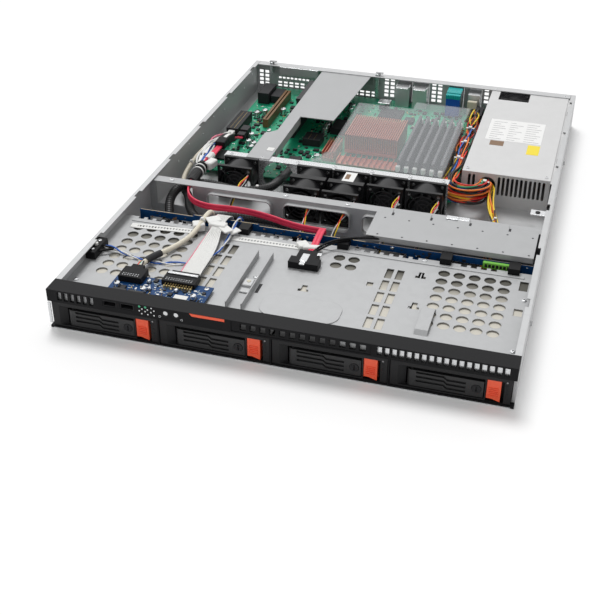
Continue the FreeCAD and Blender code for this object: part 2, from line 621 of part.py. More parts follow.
def make_carrier(number, x):
    """One hot-swap carrier: front block with lever and latch wells, side rails, and the drive it holds."""
    half = CARRIER_WIDTH / 2
    face = FRONT + d.carrier_setback
    back = face + d.carrier_front
    block = box(x - half, x + half, face, back, CARRIER_BASE, CARRIER_TOP)
    well_base = CARRIER_BASE + d.well_margin
    well_top = well_base + d.well_height
    well = box(x + d.well_left, x + d.well_right, face, face + d.well_depth, well_base, well_top)
    funnel = solid(funnel_shape(x, face, well_base, well_top))
    hinge = lever_pin(x)
    pin_hole = cylinder("Z", hinge[0], hinge[1], well_base - d.pin_reach - d.slide_gap,
                        d.pin_radius + d.running_gap, d.well_height + d.pin_reach * 2 + d.slide_gap * 2)
    latch_left = x + d.well_right + d.latch_web
    latch_room = box(latch_left - d.slide_gap,
                     latch_left + d.latch_width + d.latch_travel + d.slide_gap, face,
                     face + d.latch_depth + d.slide_gap * 2,
                     CARRIER_BASE + d.latch_base - d.latch_dip - d.slide_gap,
                     CARRIER_BASE + d.latch_base + d.latch_height + d.slide_gap)
    front = cut(block, fuse(well, funnel, pin_hole), latch_room)
    pieces = [front]
    for side in (-1, 1):
        outer = x + half * side
        inner = outer - d.rail_wall * side
        lip = inner - d.rail_lip * side
        left, right = (outer, inner) if side < 0 else (inner, outer)
        pieces.append(box(left, right, back, back + d.rail_length, CARRIER_BASE,
                          CARRIER_BASE + d.rail_height))
        left, right = (inner, lip) if side < 0 else (lip, inner)
        pieces.append(box(left, right, back, back + d.rail_length, CARRIER_BASE,
                          CARRIER_BASE + d.rail_lip_height))
    seat = CARRIER_BASE + d.rail_lip_height
    drive = box(x - DRIVE_WIDTH / 2, x + DRIVE_WIDTH / 2, back + d.drive_gap,
                back + d.drive_gap + d.drive_length, seat, seat + d.drive_height)
    node(f"drive_carrier_{number}", group(fuse(*pieces), drive))


def funnel_shape(x, face, well_base, well_top):
    """The sloped lead-in at the well's hinge end and along its top."""
    left, right = float(x + d.well_left), float(x + d.well_right)
    low, high = float(well_base), float(well_top)
    wide, deep = float(d.funnel_width), float(d.funnel_depth)
    mouth = [(left - wide, low), (right, low), (right, high + wide / 2), (left - wide, high + wide / 2)]
    throat = [(left, low), (right, low), (right, high), (left, high)]
    wires = []
    for depth, corners in ((0.0, mouth), (deep, throat)):
        points = [Vector(px, float(face) + depth, pz) for px, pz in corners]
        wires.append(Part.makePolygon(points + points[:1]))
    return Part.makeLoft(wires, True, True)


def lever_pin(x):
    """The lever's hinge axis: across, and back from the bezel."""
    reach = d.lever_thickness / 2
    return x + d.well_left + reach + 1, FRONT + d.carrier_setback + d.lever_setback + reach


def make_lever(number, x):
    """Pull lever that swings out on a pin at its left end, with jogged grip slots and a bore for its lock."""
    lever = body(f"pull_lever_{number}")
    px, py = lever_pin(x)
    reach = d.lever_thickness / 2
    gap = d.slide_gap
    base = CARRIER_BASE + d.well_margin + gap
    height = d.well_height - gap * 2
    right = x + d.well_right - gap * 3
    pad(lever, "XY", base, height, [rect(px, right, py - reach, py + reach)])
    pad(lever, "XY", base, height, circles=[(px, py, reach)])
    pad(lever, "XY", base - d.pin_reach, height + d.pin_reach * 2, circles=[(px, py, d.pin_radius)])
    face = py - reach
    low = base + d.lever_slot
    step = d.lever_slot_pitch * 0.6
    middle = x + d.well_left * 0.15
    jog = [(px + 4, low + step), (middle, low + step), (middle + 3, low),
           (x + d.well_right * 0.45, low), (x + d.well_right * 0.45, low + d.lever_slot),
           (middle + 3, low + d.lever_slot), (middle, low + step + d.lever_slot),
           (px + 4, low + step + d.lever_slot)]
    slot = pocket(lever, "XZ", face, d.lever_slot_depth, [jog])
    pattern(lever, slot, LEVER_SLOTS, d.lever_slot_pitch, "V_Axis")
    lock_x, lock_z = lock_middle(x)
    pocket(lever, "XZ", face, d.lock_length + gap, circles=[(lock_x, lock_z, d.lock_radius + gap)])


def lock_middle(x):
    """The quarter-turn lock's middle on the lever."""
    return x + d.well_right - d.lock_offset, CARRIER_BASE + d.well_margin + d.well_height / 2


def make_lock(number, x):
    """Round quarter-turn lock with a driver slot across its face."""
    lock_x, lock_z = lock_middle(x)
    face = FRONT + d.carrier_setback + d.lever_setback - d.slide_gap
    disc = cylinder("Y", lock_x, face, lock_z, d.lock_radius, d.lock_length)
    slot = box(lock_x - d.lock_slot / 2, lock_x + d.lock_slot / 2, face, face + d.lock_slot,
               lock_z - d.lock_radius * 0.7, lock_z + d.lock_radius * 0.7)
    node(f"carrier_lock_{number}", cut(disc, slot))


def make_latch(number, x):
    """Orange release that slides away from the lever, its foot dipping at the right, ribbed for a thumb."""
    latch = body(f"release_latch_{number}")
    left = x + d.well_right + d.latch_web
    right = left + d.latch_width
    base = CARRIER_BASE + d.latch_base
    top = base + d.latch_height
    face = FRONT + d.carrier_setback + d.latch_rib
    outline = [(left, base), (left + d.latch_width * 0.35, base), (right, base - d.latch_dip),
               (right, top), (left, top)]
    pad(latch, "XZ", face, d.latch_depth - d.latch_rib, [outline])
    inset, rise = d.latch_rib_inset, base + d.latch_rib_rise
    rib = pad(latch, "XZ", face, d.latch_rib,
              [rect(left + inset, right - inset, rise, rise + d.latch_rib)], forward=False)
    pattern(latch, rib, LATCH_RIBS, d.latch_rib * 2.4, "V_Axis")


def make_panel_board():
    """Front panel circuit board on four posts over the bay plate."""
    start, end = FRONT + d.panel_front, FRONT + d.panel_front + d.panel_depth
    pieces = [box(d.panel_left, d.panel_right, start, end, PANEL_TOP - d.board, PANEL_TOP)]
    for x in (d.panel_left + d.post_inset, d.panel_right - d.post_inset):
        for y in (start + d.post_inset * 2, end - d.post_inset):
            pieces.append(cylinder("Z", x, y, PLATE_TOP, d.post_radius, d.panel_rise))
    node("front_panel_board", group(*pieces))


# Plugs over the bay plate, each a body and its tail: left, right, front and back from the bezel, height
PLUGS = [("panel", (-163.0, -140.0, 43.0, 61.0, 6.5), (-158.0, -146.0, 61.0, 67.0, 6.0)),
         ("panel", (-122.0, -89.0, 49.0, 65.0, 5.0), (-119.0, -92.0, 65.0, 70.0, 4.0)),
         ("plate", (-20.0, 10.0, 118.0, 130.0, 7.0), (-15.0, 5.0, 130.0, 144.0, 7.0))]


def make_cable_plugs():
    """The plugs on the cords: port header and ribbon header on the board, optical-drive plug on the plate."""
    levels = {"panel": PANEL_TOP, "plate": PLATE_TOP}
    pieces = []
    for level, *blocks in PLUGS:
        low = levels[level]
        pieces.append(fuse(*[box(left, right, FRONT + front, FRONT + back, low, low + height)
                             for left, right, front, back, height in blocks]))
    node("cable_plugs", group(*pieces))


def make_intrusion_switch():
    """Cover switch on the left wall and the sprung plunger that the cover holds down."""
    start = FRONT + d.switch_front
    base = PLATE_TOP
    top = base + d.switch_height
    x = -WALL + d.switch_width / 2
    y = start + d.switch_length / 2
    case = box(-WALL, -WALL + d.switch_width, start, start + d.switch_length, base, top)
    bore = cylinder("Z", x, y, top - d.plunger_rise * 2, d.plunger_radius + d.running_gap,
                    d.plunger_rise * 2)
    node("intrusion_switch", cut(case, bore))
    node("intrusion_plunger", cylinder("Z", x, y, top - d.plunger_rise, d.plunger_radius,
                                       d.plunger_rise * 2))


CLIPS = [-82.0, 22.0, 125.0, 191.0]
# Sockets on the backplane's rear face: left edge, width, depth, underside, top
REAR_SOCKETS = [(-192.0, 16.0, 10.0, 5.0, 17.0), (-121.0, 24.0, 13.0, 18.0, 28.0),
                (-96.0, 8.0, 13.0, 14.0, 22.0), (152.0, 15.0, 10.0, 5.0, 17.0)]
# Fan lead sockets: their middles, one for each fan position in use, then width, depth, underside and top
LEAD_SOCKETS = [-119.0, -33.0, 0.0, 52.0, 88.0]
LEAD_SOCKET = (8.0, 8.0, 8.0, 16.0)


def make_backplane():
    """Upright drive backplane with a raised tab and air windows, its drive sockets and retaining clips."""
    board = body("backplane_board")
    left, right = d.backplane_left_gap - WALL, WALL - d.backplane_right_gap
    outline = [(left, d.steel), (right, d.steel), (right, d.backplane_top),
               (d.tab_right, d.backplane_top), (d.tab_right, d.backplane_tab),
               (d.tab_left, d.backplane_tab), (d.tab_left, d.backplane_top), (left, d.backplane_top)]
    pad(board, "XZ", BACKPLANE, d.board, [outline])
    first = -BAY_PITCH * ((BAYS - 1) / 2) - d.vent_slot_width / 2
    window = pocket(board, "XZ", BACKPLANE, d.board,
                    [rect(first, first + d.vent_slot_width, d.vent_slot_base,
                          d.vent_slot_base + d.vent_slot_height)])
    pattern(board, window, BAYS, BAY_PITCH)
    drive_end = FRONT + d.carrier_setback + d.carrier_front + d.drive_gap + d.drive_length
    sockets = []
    for step in range(BAYS):
        x = BAY_PITCH * (step - (BAYS - 1) / 2)
        sockets.append(box(x - d.port_width / 2, x + d.port_width / 2, drive_end + d.port_gap,
                           BACKPLANE, d.port_base, d.port_base + d.port_height))
    for x in CLIPS:
        sockets.append(box(x - d.clip_width / 2, x + d.clip_width / 2, BACKPLANE - d.clip_depth,
                           BACKPLANE, PLATE_TOP, PLATE_TOP + d.clip_height))
    for left, width, depth, low, high in REAR_SOCKETS:
        sockets.append(box(left, size(left) + width, BACKPLANE_BACK, BACKPLANE_BACK + depth, low, high))
    width, depth, low, high = LEAD_SOCKET
    for x in LEAD_SOCKETS:
        sockets.append(box(x - width / 2, x + width / 2, BACKPLANE_BACK, BACKPLANE_BACK + depth, low, high))
    node("backplane_sockets", group(*sockets))


def make_fan_wall():
    """Cross wall with drawn windows, a cable gap at the left and a flanged rail along its top."""
    wall = body("fan_wall")
    top = d.wall_height
    face = WALL_FRONT
    pad(wall, "XZ", face, d.steel, [rect(-WALL, WALL, d.steel, top)])
    pad(wall, "XY", top, d.steel, [rect(-WALL, WALL, face, face + d.crossbar_depth)], forward=False)
    pad(wall, "XZ", face + d.crossbar_depth - d.steel, d.steel,
        [rect(-WALL, WALL, top - d.crossbar_lip, top)])
    first = d.wall_window_first - d.wall_window_width / 2
    low = d.wall_window_base
    high = low + d.wall_window_height
    for step in range(WALL_WINDOWS):
        left = first + d.wall_window_pitch * step
        rim = d.steel
        pad(wall, "XZ", face, d.window_return,
            [rect(left - rim, left + d.wall_window_width + rim, low - rim, high + rim)], forward=False,
            radius=d.window_corner + rim)
        pocket(wall, "XZ", face - d.window_return, d.window_return + d.steel,
               [rect(left, left + d.wall_window_width, low, high)], radius=d.window_corner)
    gap_left = d.cable_gap_side - WALL
    pocket(wall, "XZ", face, d.crossbar_depth,
           [rect(gap_left, gap_left + d.cable_gap_width, low, top - d.steel)])


def make_cover_plate():
    """Removable plate over the cable channel, hooked on the cross rail, with a stiffening front lip."""
    plate = body("channel_cover")
    top = d.wall_height
    rear = WALL_FRONT
    start = rear - d.cover_reach
    pad(plate, "XY", top, d.steel, [rect(COVER_LEFT, COVER_RIGHT, start, rear)])
    pad(plate, "XZ", start, d.steel, [rect(COVER_LEFT, COVER_RIGHT, top - d.cover_lip, top)])
    first = COVER_LEFT + d.hook_first
    hook = pad(plate, "XY", top, d.steel, [rect(first, first + d.hook_width, rear, rear + d.hook_depth)])
    pattern(plate, hook, COVER_HOOKS, d.hook_pitch)


def fan_frame(x, front, across, bore):
    """One fan housing: square flanges round a barrel, motor plate on struts, four corner holes."""
    half = across / 2
    back = front + d.fan_depth
    low, high = FAN_Z - half, FAN_Z + half
    flanges = [box(x - half, x + half, front, front + d.fan_flange, low, high),
               box(x - half, x + half, back - d.fan_flange, back, low, high)]
    barrel = cylinder("Y", x, front, FAN_Z, half - d.slide_gap, d.fan_depth)
    corner = half - d.screw_inset
    holes = [cylinder("Y", x + corner * sx, front, FAN_Z + corner * sz, d.screw_radius, d.fan_depth)
             for sx in (-1, 1) for sz in (-1, 1)]
    shell = cut(fuse(*flanges, barrel), cylinder("Y", x, front, FAN_Z, bore, d.fan_depth), *holes)
    plate_front = back - d.motor_plate
    plate = cylinder("Y", x, plate_front, FAN_Z, d.fan_hub, d.motor_plate)
    reach, thin = bore + d.slide_gap * 2, d.strut_width / 2
    struts = [box(x - reach, x + reach, plate_front, back, FAN_Z - thin, FAN_Z + thin),
              box(x - thin, x + thin, plate_front, back, FAN_Z - reach, FAN_Z + reach)]
    return fuse(shell, plate, *struts)


def fan_places():
    """Every chassis fan as its middle and its front face; two positions hold a pair in line."""
    places = []
    for slot in range(FAN_SLOTS):
        if slot == EMPTY_FAN_SLOT:
            continue
        x = d.fan_first + d.fan_pitch * slot
        if slot in TWIN_FAN_SLOTS:
            places.append((x, FAN_FRONT - d.fan_depth))
        places.append((x, FAN_FRONT))
    return places


def blade_shape(hub, tip, span):
    """One twisted blade: a steep root section lofted to a flatter tip section."""
    sections = []
    for radius, pitch, chord in ((hub - ROOT_DEPTH, ROOT_PITCH, ROOT_CHORD), (tip, TIP_PITCH, TIP_CHORD)):
        angle = math.radians(pitch)
        along = Vector(math.cos(angle), math.sin(angle), 0) * float(d.blade_chord) * chord / 2
        thick = Vector(-math.sin(angle), math.cos(angle), 0) * float(d.blade_thickness) / 2
        corners = [along + thick, -along + thick, -along - thick, along - thick]
        points = [Vector(c.x, span / 2 + c.y, radius) for c in corners]
        sections.append(Part.makePolygon(points + points[:1]))
    return Part.makeLoft(sections, True, True)


def make_rotor(name, x, front, bore):
    """Fan impeller: a hub with twisted blades, a hair in front of its motor plate."""
    hub, tip = float(d.fan_hub), float(bore - d.blade_gap)
    length = float(d.hub_length)
    start = float(front + d.fan_depth - d.motor_plate - d.slide_gap) - length
    shape = Part.makeCylinder(hub, length, Vector(), Vector(0, 1, 0))
    blade = blade_shape(hub, tip, length)
    blades = [blade.rotated(Vector(), Vector(0, 1, 0), 360.0 * step / BLADES) for step in range(BLADES)]
    rotor = solid(shape.fuse(blades).common(Part.makeCylinder(tip, length, Vector(), Vector(0, 1, 0))))
    rotor.Placement = FreeCAD.Placement(Vector(float(x), start, float(FAN_Z)), FreeCAD.Rotation())
    node(name, rotor)


def make_fans():
    """Fan housings as one group, and a free-turning impeller for each."""
    frames = []
    for number, (x, front) in enumerate(fan_places(), start=1):
        frames.append(fan_frame(x, front, d.fan_size, d.fan_bore))
        make_rotor(f"fan_rotor_{number}", x, front, d.fan_bore)
    front = REAR - d.steel - d.psu_wall - d.fan_depth
    frames.append(fan_frame(PSU_FAN_X, front, d.psu_fan_size, d.psu_fan_bore))
    make_rotor("psu_fan_rotor", PSU_FAN_X, front, d.psu_fan_bore)
    node("fan_frames", group(*frames))


def make_fan_bracket():
    """Bracket behind the fans: a sheet with a round window for each, and a top flange."""
    bracket = body("fan_bracket")
    pad(bracket, "XZ", FAN_BACK, d.steel, [rect(d.tray_left, d.tray_right, d.steel, d.tray_top)])
    pad(bracket, "XY", d.tray_top, d.steel,
        [rect(d.tray_left, d.tray_right, FAN_BACK, FAN_BACK + d.tray_flange)], forward=False)
    hole = pocket(bracket, "XZ", FAN_BACK, d.steel, circles=[(d.fan_first, FAN_Z, d.fan_bore)])
    pattern(bracket, hole, FAN_SLOTS, d.fan_pitch)


def make_motherboard():
    """Main board on nine posts."""
    base = d.steel + d.board_rise
    pieces = [box(d.board_left, d.board_right, BOARD_FRONT, BOARD_BACK, base, BOARD_TOP)]
    inset = d.post_inset * 1.5
    middle = (d.board_left + d.board_right) / 2
    for x in (d.board_left + inset, middle, d.board_right - inset):
        for y in (BOARD_FRONT + inset, (BOARD_FRONT + BOARD_BACK) / 2, BOARD_BACK - inset):
            pieces.append(cylinder("Z", x, y, d.steel, d.post_radius, d.board_rise))
    node("motherboard", group(*pieces))


BOARD_PARTS = [
    # Left edge, width, depth from the board's rear edge to the part's back, length, height
    (-196.0, 15.0, 118.0, 56.0, 12.0), (-192.0, 15.0, 26.0, 36.0, 15.0), (-176.0, 13.0, 28.0, 28.0, 10.0),
    (-146.0, 20.0, 188.0, 20.0, 2.4), (-190.0, 24.0, 216.0, 24.0, 2.2), (-98.0, 22.0, 150.0, 22.0, 9.0),
    (-74.0, 18.0, 100.0, 30.0, 8.0), (-28.0, 30.0, 36.0, 30.0, 3.0), (8.0, 12.0, 58.0, 14.0, 4.0),
    (-152.0, 10.0, 228.0, 10.0, 7.0), (-134.0, 10.0, 228.0, 10.0, 7.0), (-96.0, 14.0, 228.0, 14.0, 12.0),
    (88.0, 15.0, 22.0, 28.0, 14.0), (-178.0, 10.0, 160.0, 14.0, 12.0),
]


def make_board_parts():
    """Connectors, chokes and chips on the main board, and the processor under its heat sink."""
    pieces = []
    for left, width, back, length, height in BOARD_PARTS:
        rear = BOARD_BACK - back
        pieces.append(box(left, size(left) + width, rear - length, rear, BOARD_TOP, BOARD_TOP + height))
    rear = REAR - d.sink_back - d.cpu_margin
    left = d.sink_left + d.cpu_margin
    pieces.append(box(left, d.sink_left + d.sink_width - d.cpu_margin,
                      rear - d.sink_length + d.cpu_margin * 2, rear, BOARD_TOP,
                      BOARD_TOP + d.cpu_height))
    node("board_components", group(*pieces))


def finned_block(left, width, front, length, base, floor, top, count):
    """A heat sink: a base plate and a row of upright fins along the air flow."""
    pieces = [box(left, left + width, front, front + length, base, floor)]
    step = (width - d.fin_thickness) / (count - 1)
    for index in range(count):
        x = left + step * index
        pieces.append(box(x, x + d.fin_thickness, front, front + length, floor, top))
    return fuse(*pieces)


def make_heat_sinks():
    """Copper heat sinks: the finned processor block, the low one in front and the chipset's."""
    base = BOARD_TOP + d.cpu_height
    front = REAR - d.sink_back - d.sink_length
    main = finned_block(d.sink_left, d.sink_width, front, d.sink_length, base, base + d.sink_base,
                        d.sink_top, int(SIZES["fin_count"]))
    low = finned_block(d.low_sink_left, d.low_sink_right - d.low_sink_left,
                       BOARD_FRONT + d.low_sink_front, d.low_sink_length, BOARD_TOP,
                       BOARD_TOP + d.sink_base / 2, BOARD_TOP + d.low_sink_height, LOW_SINK_FINS)
    rear = REAR - d.chip_sink_back
    chip = finned_block(d.chip_sink_left, d.chip_sink_size, rear - d.chip_sink_length,
                        d.chip_sink_length, BOARD_TOP, BOARD_TOP + d.sink_base,
                        BOARD_TOP + d.chip_sink_height, CHIP_SINK_FINS)
    node("heat_sinks", group(main, low, chip))


def make_memory():
    """Memory sockets with end latches, and a module standing in each."""
    sockets, modules = [], []
    back = REAR - d.dimm_back
    front = back - d.dimm_length
    seat = BOARD_TOP + d.socket_floor
    gap = d.running_gap
    for index in range(DIMMS):
        x = d.dimm_first + d.dimm_pitch * index
        half = d.socket_width / 2
        rail = box(x - half, x + half, front - d.socket_end, back + d.socket_end, BOARD_TOP,
                   BOARD_TOP + d.socket_height)
        towers = [box(x - half, x + half, y, y + d.socket_end - gap, BOARD_TOP + d.socket_height,
                      BOARD_TOP + d.latch_tower) for y in (front - d.socket_end, back + gap)]
        groove = box(x - d.dimm_thickness / 2 - gap, x + d.dimm_thickness / 2 + gap, front - gap,
                     back + gap, seat, BOARD_TOP + d.socket_height)
        sockets.append(fuse(cut(rail, groove), *towers))
        modules.append(box(x - d.dimm_thickness / 2, x + d.dimm_thickness / 2, front, back, seat,
                           seat + d.dimm_height))
    node("memory_sockets", group(*sockets))
    node("memory_modules", group(*modules))


def make_air_duct():
    """Clear duct over the processor and memory: a lid with side walls, flared at its left front corner."""
    duct = body("air_duct")
    front = REAR - d.duct_front
    back, step_back = REAR - d.duct_back, REAR - d.duct_notch
    left, right = d.duct_left, d.duct_right
    flare = left - d.duct_flare
    elbow = front + d.duct_flare_length
    wall = d.duct_wall
    foot = BOARD_TOP + d.slide_gap
    outline = [(flare, front), (right, front), (right, step_back), (d.duct_step, step_back),
               (d.duct_step, back), (left, back), (left, elbow)]
    pad(duct, "XY", d.duct_top, wall, [outline], forward=False)
    sides = [[(flare, front), (flare + wall * 1.4, front), (left + wall, elbow), (left + wall, back),
              (left, back), (left, elbow)], rect(right - wall, right, front, step_back)]
    pad(duct, "XY", foot, d.duct_top - wall - foot, sides)


def make_expansion_slots():
    """Card slots: the long brown one, the riser's own, and the riser's two card ports."""
    def socket(x, back, length):
        rear = REAR - back
        low = BOARD_TOP + d.slot_height - d.slot_groove
        block = box(x - d.slot_width / 2, x + d.slot_width / 2, rear - length, rear, BOARD_TOP,
                    BOARD_TOP + d.slot_height)
        groove = box(x - d.board / 2 - d.running_gap, x + d.board / 2 + d.running_gap,
                     rear - length + d.slot_end, rear - d.slot_end, low, BOARD_TOP + d.slot_height)
        return cut(block, groove)

    riser_back = d.riser_back + (d.riser_length - d.riser_slot_length) / 2
    pieces = [socket(d.slot_x, d.slot_back, d.slot_length),
              socket(d.riser_x, riser_back, d.riser_slot_length)]
    rear = REAR - d.riser_port_back
    low = d.cover_base + (d.cover_height - d.riser_port_height) / 2
    for near, far in ((d.riser_x - d.board / 2 - d.riser_port_depth, d.riser_x - d.board / 2),
                      (d.riser_x + d.board / 2, d.riser_x + d.board / 2 + d.riser_port_depth)):
        pieces.append(box(near, far, rear - d.riser_port_length, rear, low, low + d.riser_port_height))
    node("expansion_slots", group(*pieces))


def make_riser():
    """Upright riser card in its slot, and the steel bracket over it with its slot covers."""
    rear = REAR - d.riser_back
    top = d.case_height - d.steel * 2
    edge = d.riser_length - d.riser_slot_length
    low = BOARD_TOP + d.slot_height - d.slot_groove
    x0, x1 = d.riser_x - d.board / 2, d.riser_x + d.board / 2
    card = fuse(box(x0, x1, rear - d.riser_length, rear, BOARD_TOP + d.slot_height, top),
                box(x0, x1, rear - d.riser_length + edge / 2 + d.slot_end, rear - edge / 2 - d.slot_end,
                    low + d.running_gap, BOARD_TOP + d.slot_height))
    node("riser_card", card)
    left = d.riser_x - d.board / 2
    right = left + d.bracket_width
    back = REAR - d.steel - d.slide_gap
    front = FAN_BACK + d.steel + d.slide_gap
    foot = front + d.bracket_foot_length
    wide = back - d.bracket_plate_length
    outline = [(left - d.bracket_foot, front), (right, front), (right, wide),
               (right + d.bracket_plate - d.bracket_taper, wide), (right + d.bracket_plate, back),
               (left, back), (left, foot + d.bracket_foot), (left - d.bracket_foot, foot)]
    bracket = doc.addObject("PartDesign::Body", "Body")
    pad(bracket, "XY", top, d.steel, [outline])
    pad(bracket, "YZ", right - d.steel, d.steel,
        [rect(BOARD_FRONT + d.board_margin, wide, top - d.bracket_web, top)])
    pieces = [bracket]
    inside = REAR - d.steel
    for start, width in slot_covers():
        high = d.cover_base + d.cover_height - d.steel
        plate = box(start, start + width, inside - d.steel, inside, d.cover_base, high)
        tab_left = start + d.cover_rim * 2
        tab = box(tab_left, tab_left + d.steel, inside, REAR + d.tab_reach,
                  d.cover_base + d.cover_rim * 2, high - d.cover_rim * 2)
        pieces.append(fuse(plate, tab))
    node("riser_bracket", group(*pieces))


def make_ports():
    """Rear port stacks and front ports: metal shells with open mouths."""
    pieces = []
    back = REAR
    for x, width, base, top in rear_port_fronts():
        shell = box(x - width / 2, x + width / 2, back - d.port_depth, back, base, top)
        wall = d.port_wall
        middle = (base + top) / 2
        mouths = [box(x - width / 2 + wall, x + width / 2 - wall, back - d.mouth_depth, back,
                      low + wall, high - wall) for low, high in ((base, middle), (middle, top))]
        pieces.append(cut(shell, *mouths))
    for x in usb_middles():
        start = FRONT + d.button_setback
        wall = d.usb_wall
        shell = box(x - d.usb_width / 2, x + d.usb_width / 2, start,
                    FRONT + d.panel_front + d.usb_length / 2, PANEL_TOP, PANEL_TOP + d.usb_height)
        mouth = box(x - d.usb_width / 2 + wall, x + d.usb_width / 2 - wall, start,
                    start + d.mouth_depth, PANEL_TOP + wall, PANEL_TOP + d.usb_height - wall)
        pieces.append(cut(shell, mouth))
    node("ports", group(*pieces))


def slot_tool(x, y, z, width, height, depth):
    """A slot with round ends, upright, cut along Y."""
    radius = width / 2
    return fuse(box(x - radius, x + radius, y, y + depth, z + radius, z + height - radius),
                cylinder("Y", x, y, z + radius, radius, depth),
                cylinder("Y", x, y, z + height - radius, radius, depth))


def make_power_supply():
    """Power supply case with a slotted front, cord hole, top window, rear fan opening and an inlet."""
    left, right = PSU_LEFT, PSU_LEFT + d.psu_width
    front, back = PSU_FRONT, REAR - d.steel
    low, high = d.steel, d.steel + d.psu_height
    wall = d.psu_wall
    shell = cut(box(left, right, front, back, low, high),
                box(left + wall, right - wall, front + wall, back - wall, low + wall, high - wall))
    tools = []
    for start, count in ((d.psu_slots_left, 11), (d.psu_pair_left, 2)):
        for index in range(count):
            x = PSU_LEFT + start + d.psu_slot_pitch * index
            tools.append(slot_tool(x, front, d.psu_slot_base, d.psu_slot, d.psu_slot_height, wall))
    tools.append(cylinder("Y", PSU_LEFT + d.grommet_x, front, d.grommet_z, d.grommet_radius, wall))
    rear = back - d.psu_window_back
    window = PSU_LEFT + d.psu_window_left
    tools.append(box(window, window + d.psu_window_width, rear - d.psu_window_length, rear,
                     high - wall, high))
    tools.append(cylinder("Y", PSU_FAN_X, back - wall, FAN_Z, d.psu_fan_bore, wall))
    half, tall = d.inlet_width / 2, d.inlet_height / 2
    tools.append(box(INLET_X - half, INLET_X + half, back - wall, back, d.inlet_z - tall, d.inlet_z + tall))
    node("psu_case", cut(shell, *tools))
    start = back - d.inlet_depth
    block = box(INLET_X - half, INLET_X + half, start, back, d.inlet_z - tall, d.inlet_z + tall)
    rim = d.inlet_wall
    recess = box(INLET_X - half + rim, INLET_X + half - rim, back - d.inlet_recess, back,
                 d.inlet_z - tall + rim, d.inlet_z + tall - rim)
    blades = [box(INLET_X + offset - d.blade_width / 4, INLET_X + offset + d.blade_width / 4,
                  back - d.inlet_recess, back - d.inlet_wall, d.inlet_z - d.blade_width / 2,
                  d.inlet_z + d.blade_width / 2) for offset in (-d.blade_pitch, 0.0, d.blade_pitch)]
    node("psu_inlet", fuse(cut(block, recess), *blades))


# Cord routes: points across, back from the bezel, and up
USB_ROUTE = [(-152, 67, 37.2), (-152, 77, 37.2), (-148.6, 91, 36), (-142, 107, 34.2),
             (-135.5, 123, 33.4), (-129.5, 139, 34.4), (-126.5, 154, 36.6), (-125.5, 168, 39.4),
             (-125.6, 181, 39.8), (-126, 192, 36.8), (-126.4, 198, 29.4), (-128, 201, 21.4),
             (-134, 204.5, 15.4), (-146, 210, 13), (-158, 219, 13.6), (-167.5, 232, 16.2),
             (-172, 246, 16.8), (-177, 260, 13), (-185, 273, 10), (-191.5, 288, 9.4),
             (-194.2, 305, 10.6), (-194.6, 324, 13.2), (-193.8, 344, 15.6), (-192.4, 364, 16.7),
             (-190.7, 383, 16.4), (-189.4, 401, 15.6), (-188.5, 417, 14.6), (-188.5, 432, 14.6)]
SWITCH_ROUTE = [(-204, 98, 34.5), (-194, 98, 34.5), (-180, 94, 32.4), (-164, 89.4, 31.8),
                (-147, 87.6, 31.7), (-130, 89.6, 31.7), (-114, 95, 31.7), (-101.5, 104.5, 31.7),
                (-94.5, 118, 31.8), (-92.2, 134, 32.2), (-91.8, 150, 33.6), (-92.1, 165, 36.8),
                (-92, 177, 39.4), (-92, 185, 38.4), (-92, 190.5, 34), (-92, 192, 28), (-92, 192, 22)]
LOOM_ROUTE = [(-184, 191.6, 11), (-184, 203, 11), (-185, 216, 14), (-186.2, 227, 18.4),
              (-186.2, 239, 23), (-186, 253.2, 25.6), (-178.8, 265.8, 25.8), (-166.2, 273, 25.2),
              (-147, 271.6, 24.8), (-128, 266.4, 25.4), (-109.8, 266, 26.6), (-97.2, 273.2, 27),
              (-90, 285.8, 25.2), (-90.2, 302, 21.6), (-90.4, 319, 18.2), (-90, 336, 15.8),
              (-89, 351, 14.6), (-89, 364, 14.6)]
MAIN_BUNDLE = [(137, 360.5, 30.7), (137, 350.2, 30.7), (137, 339.8, 30.4), (131.8, 330.8, 30),
               (122.8, 325.6, 29.4), (112.4, 325.6, 28.8), (103.4, 330.8, 28.4), (98.2, 339.8, 28),
               (97.4, 355, 27.6), (98.2, 376, 27.2), (99.2, 402, 26.8), (99.6, 430, 26.4),
               (99.4, 458, 26.2), (98.8, 485, 26), (98, 509, 24.8), (97.2, 529, 21.6),
               (96.5, 544, 18.9), (96.5, 556, 18.9)]
BUNDLE_DROP = 6.5
FLOOR_BUNDLE = [(144.2, 358, 27), (144.2, 347, 26.8), (145.2, 333, 25.4), (148.4, 317, 22.6),
                (153.6, 301, 20.2), (159, 285, 19.4), (163, 268, 20), (164.6, 250, 21.2),
                (164.2, 233, 21), (162.6, 219, 17.4), (160.4, 209, 13), (159.5, 199.1, 11),
                (159.5, 191.6, 11)]
# Fan leads: share of the way from the fan to its socket, share of the way across, height
LEAD_SHAPE = [(0.0, 0.0, 33.0), (0.1, 0.0, 33.0), (0.22, 0.06, 33.4), (0.35, 0.24, 32.6),
              (0.48, 0.5, 30.0), (0.6, 0.72, 25.4), (0.71, 0.9, 19.8), (0.81, 0.98, 15.0),
              (0.91, 1.0, 12.0), (1.0, 1.0, 12.0)]
LEAD_OFFSET = 16.0
# The ribbon's own slope across, its left edge at its plug, then its profile: back from the bezel, and up
RIBBON_SLOPE = -0.06
RIBBON_LEFT = -112.0
RIBBON_PROFILE = [(70, 36.4), (82, 36.4), (98, 35.2), (116, 34.4), (134, 34.9), (150, 36.6),
                  (164, 38.8), (176, 39.6), (185, 38.4), (190.8, 33.8), (190.8, 28)]
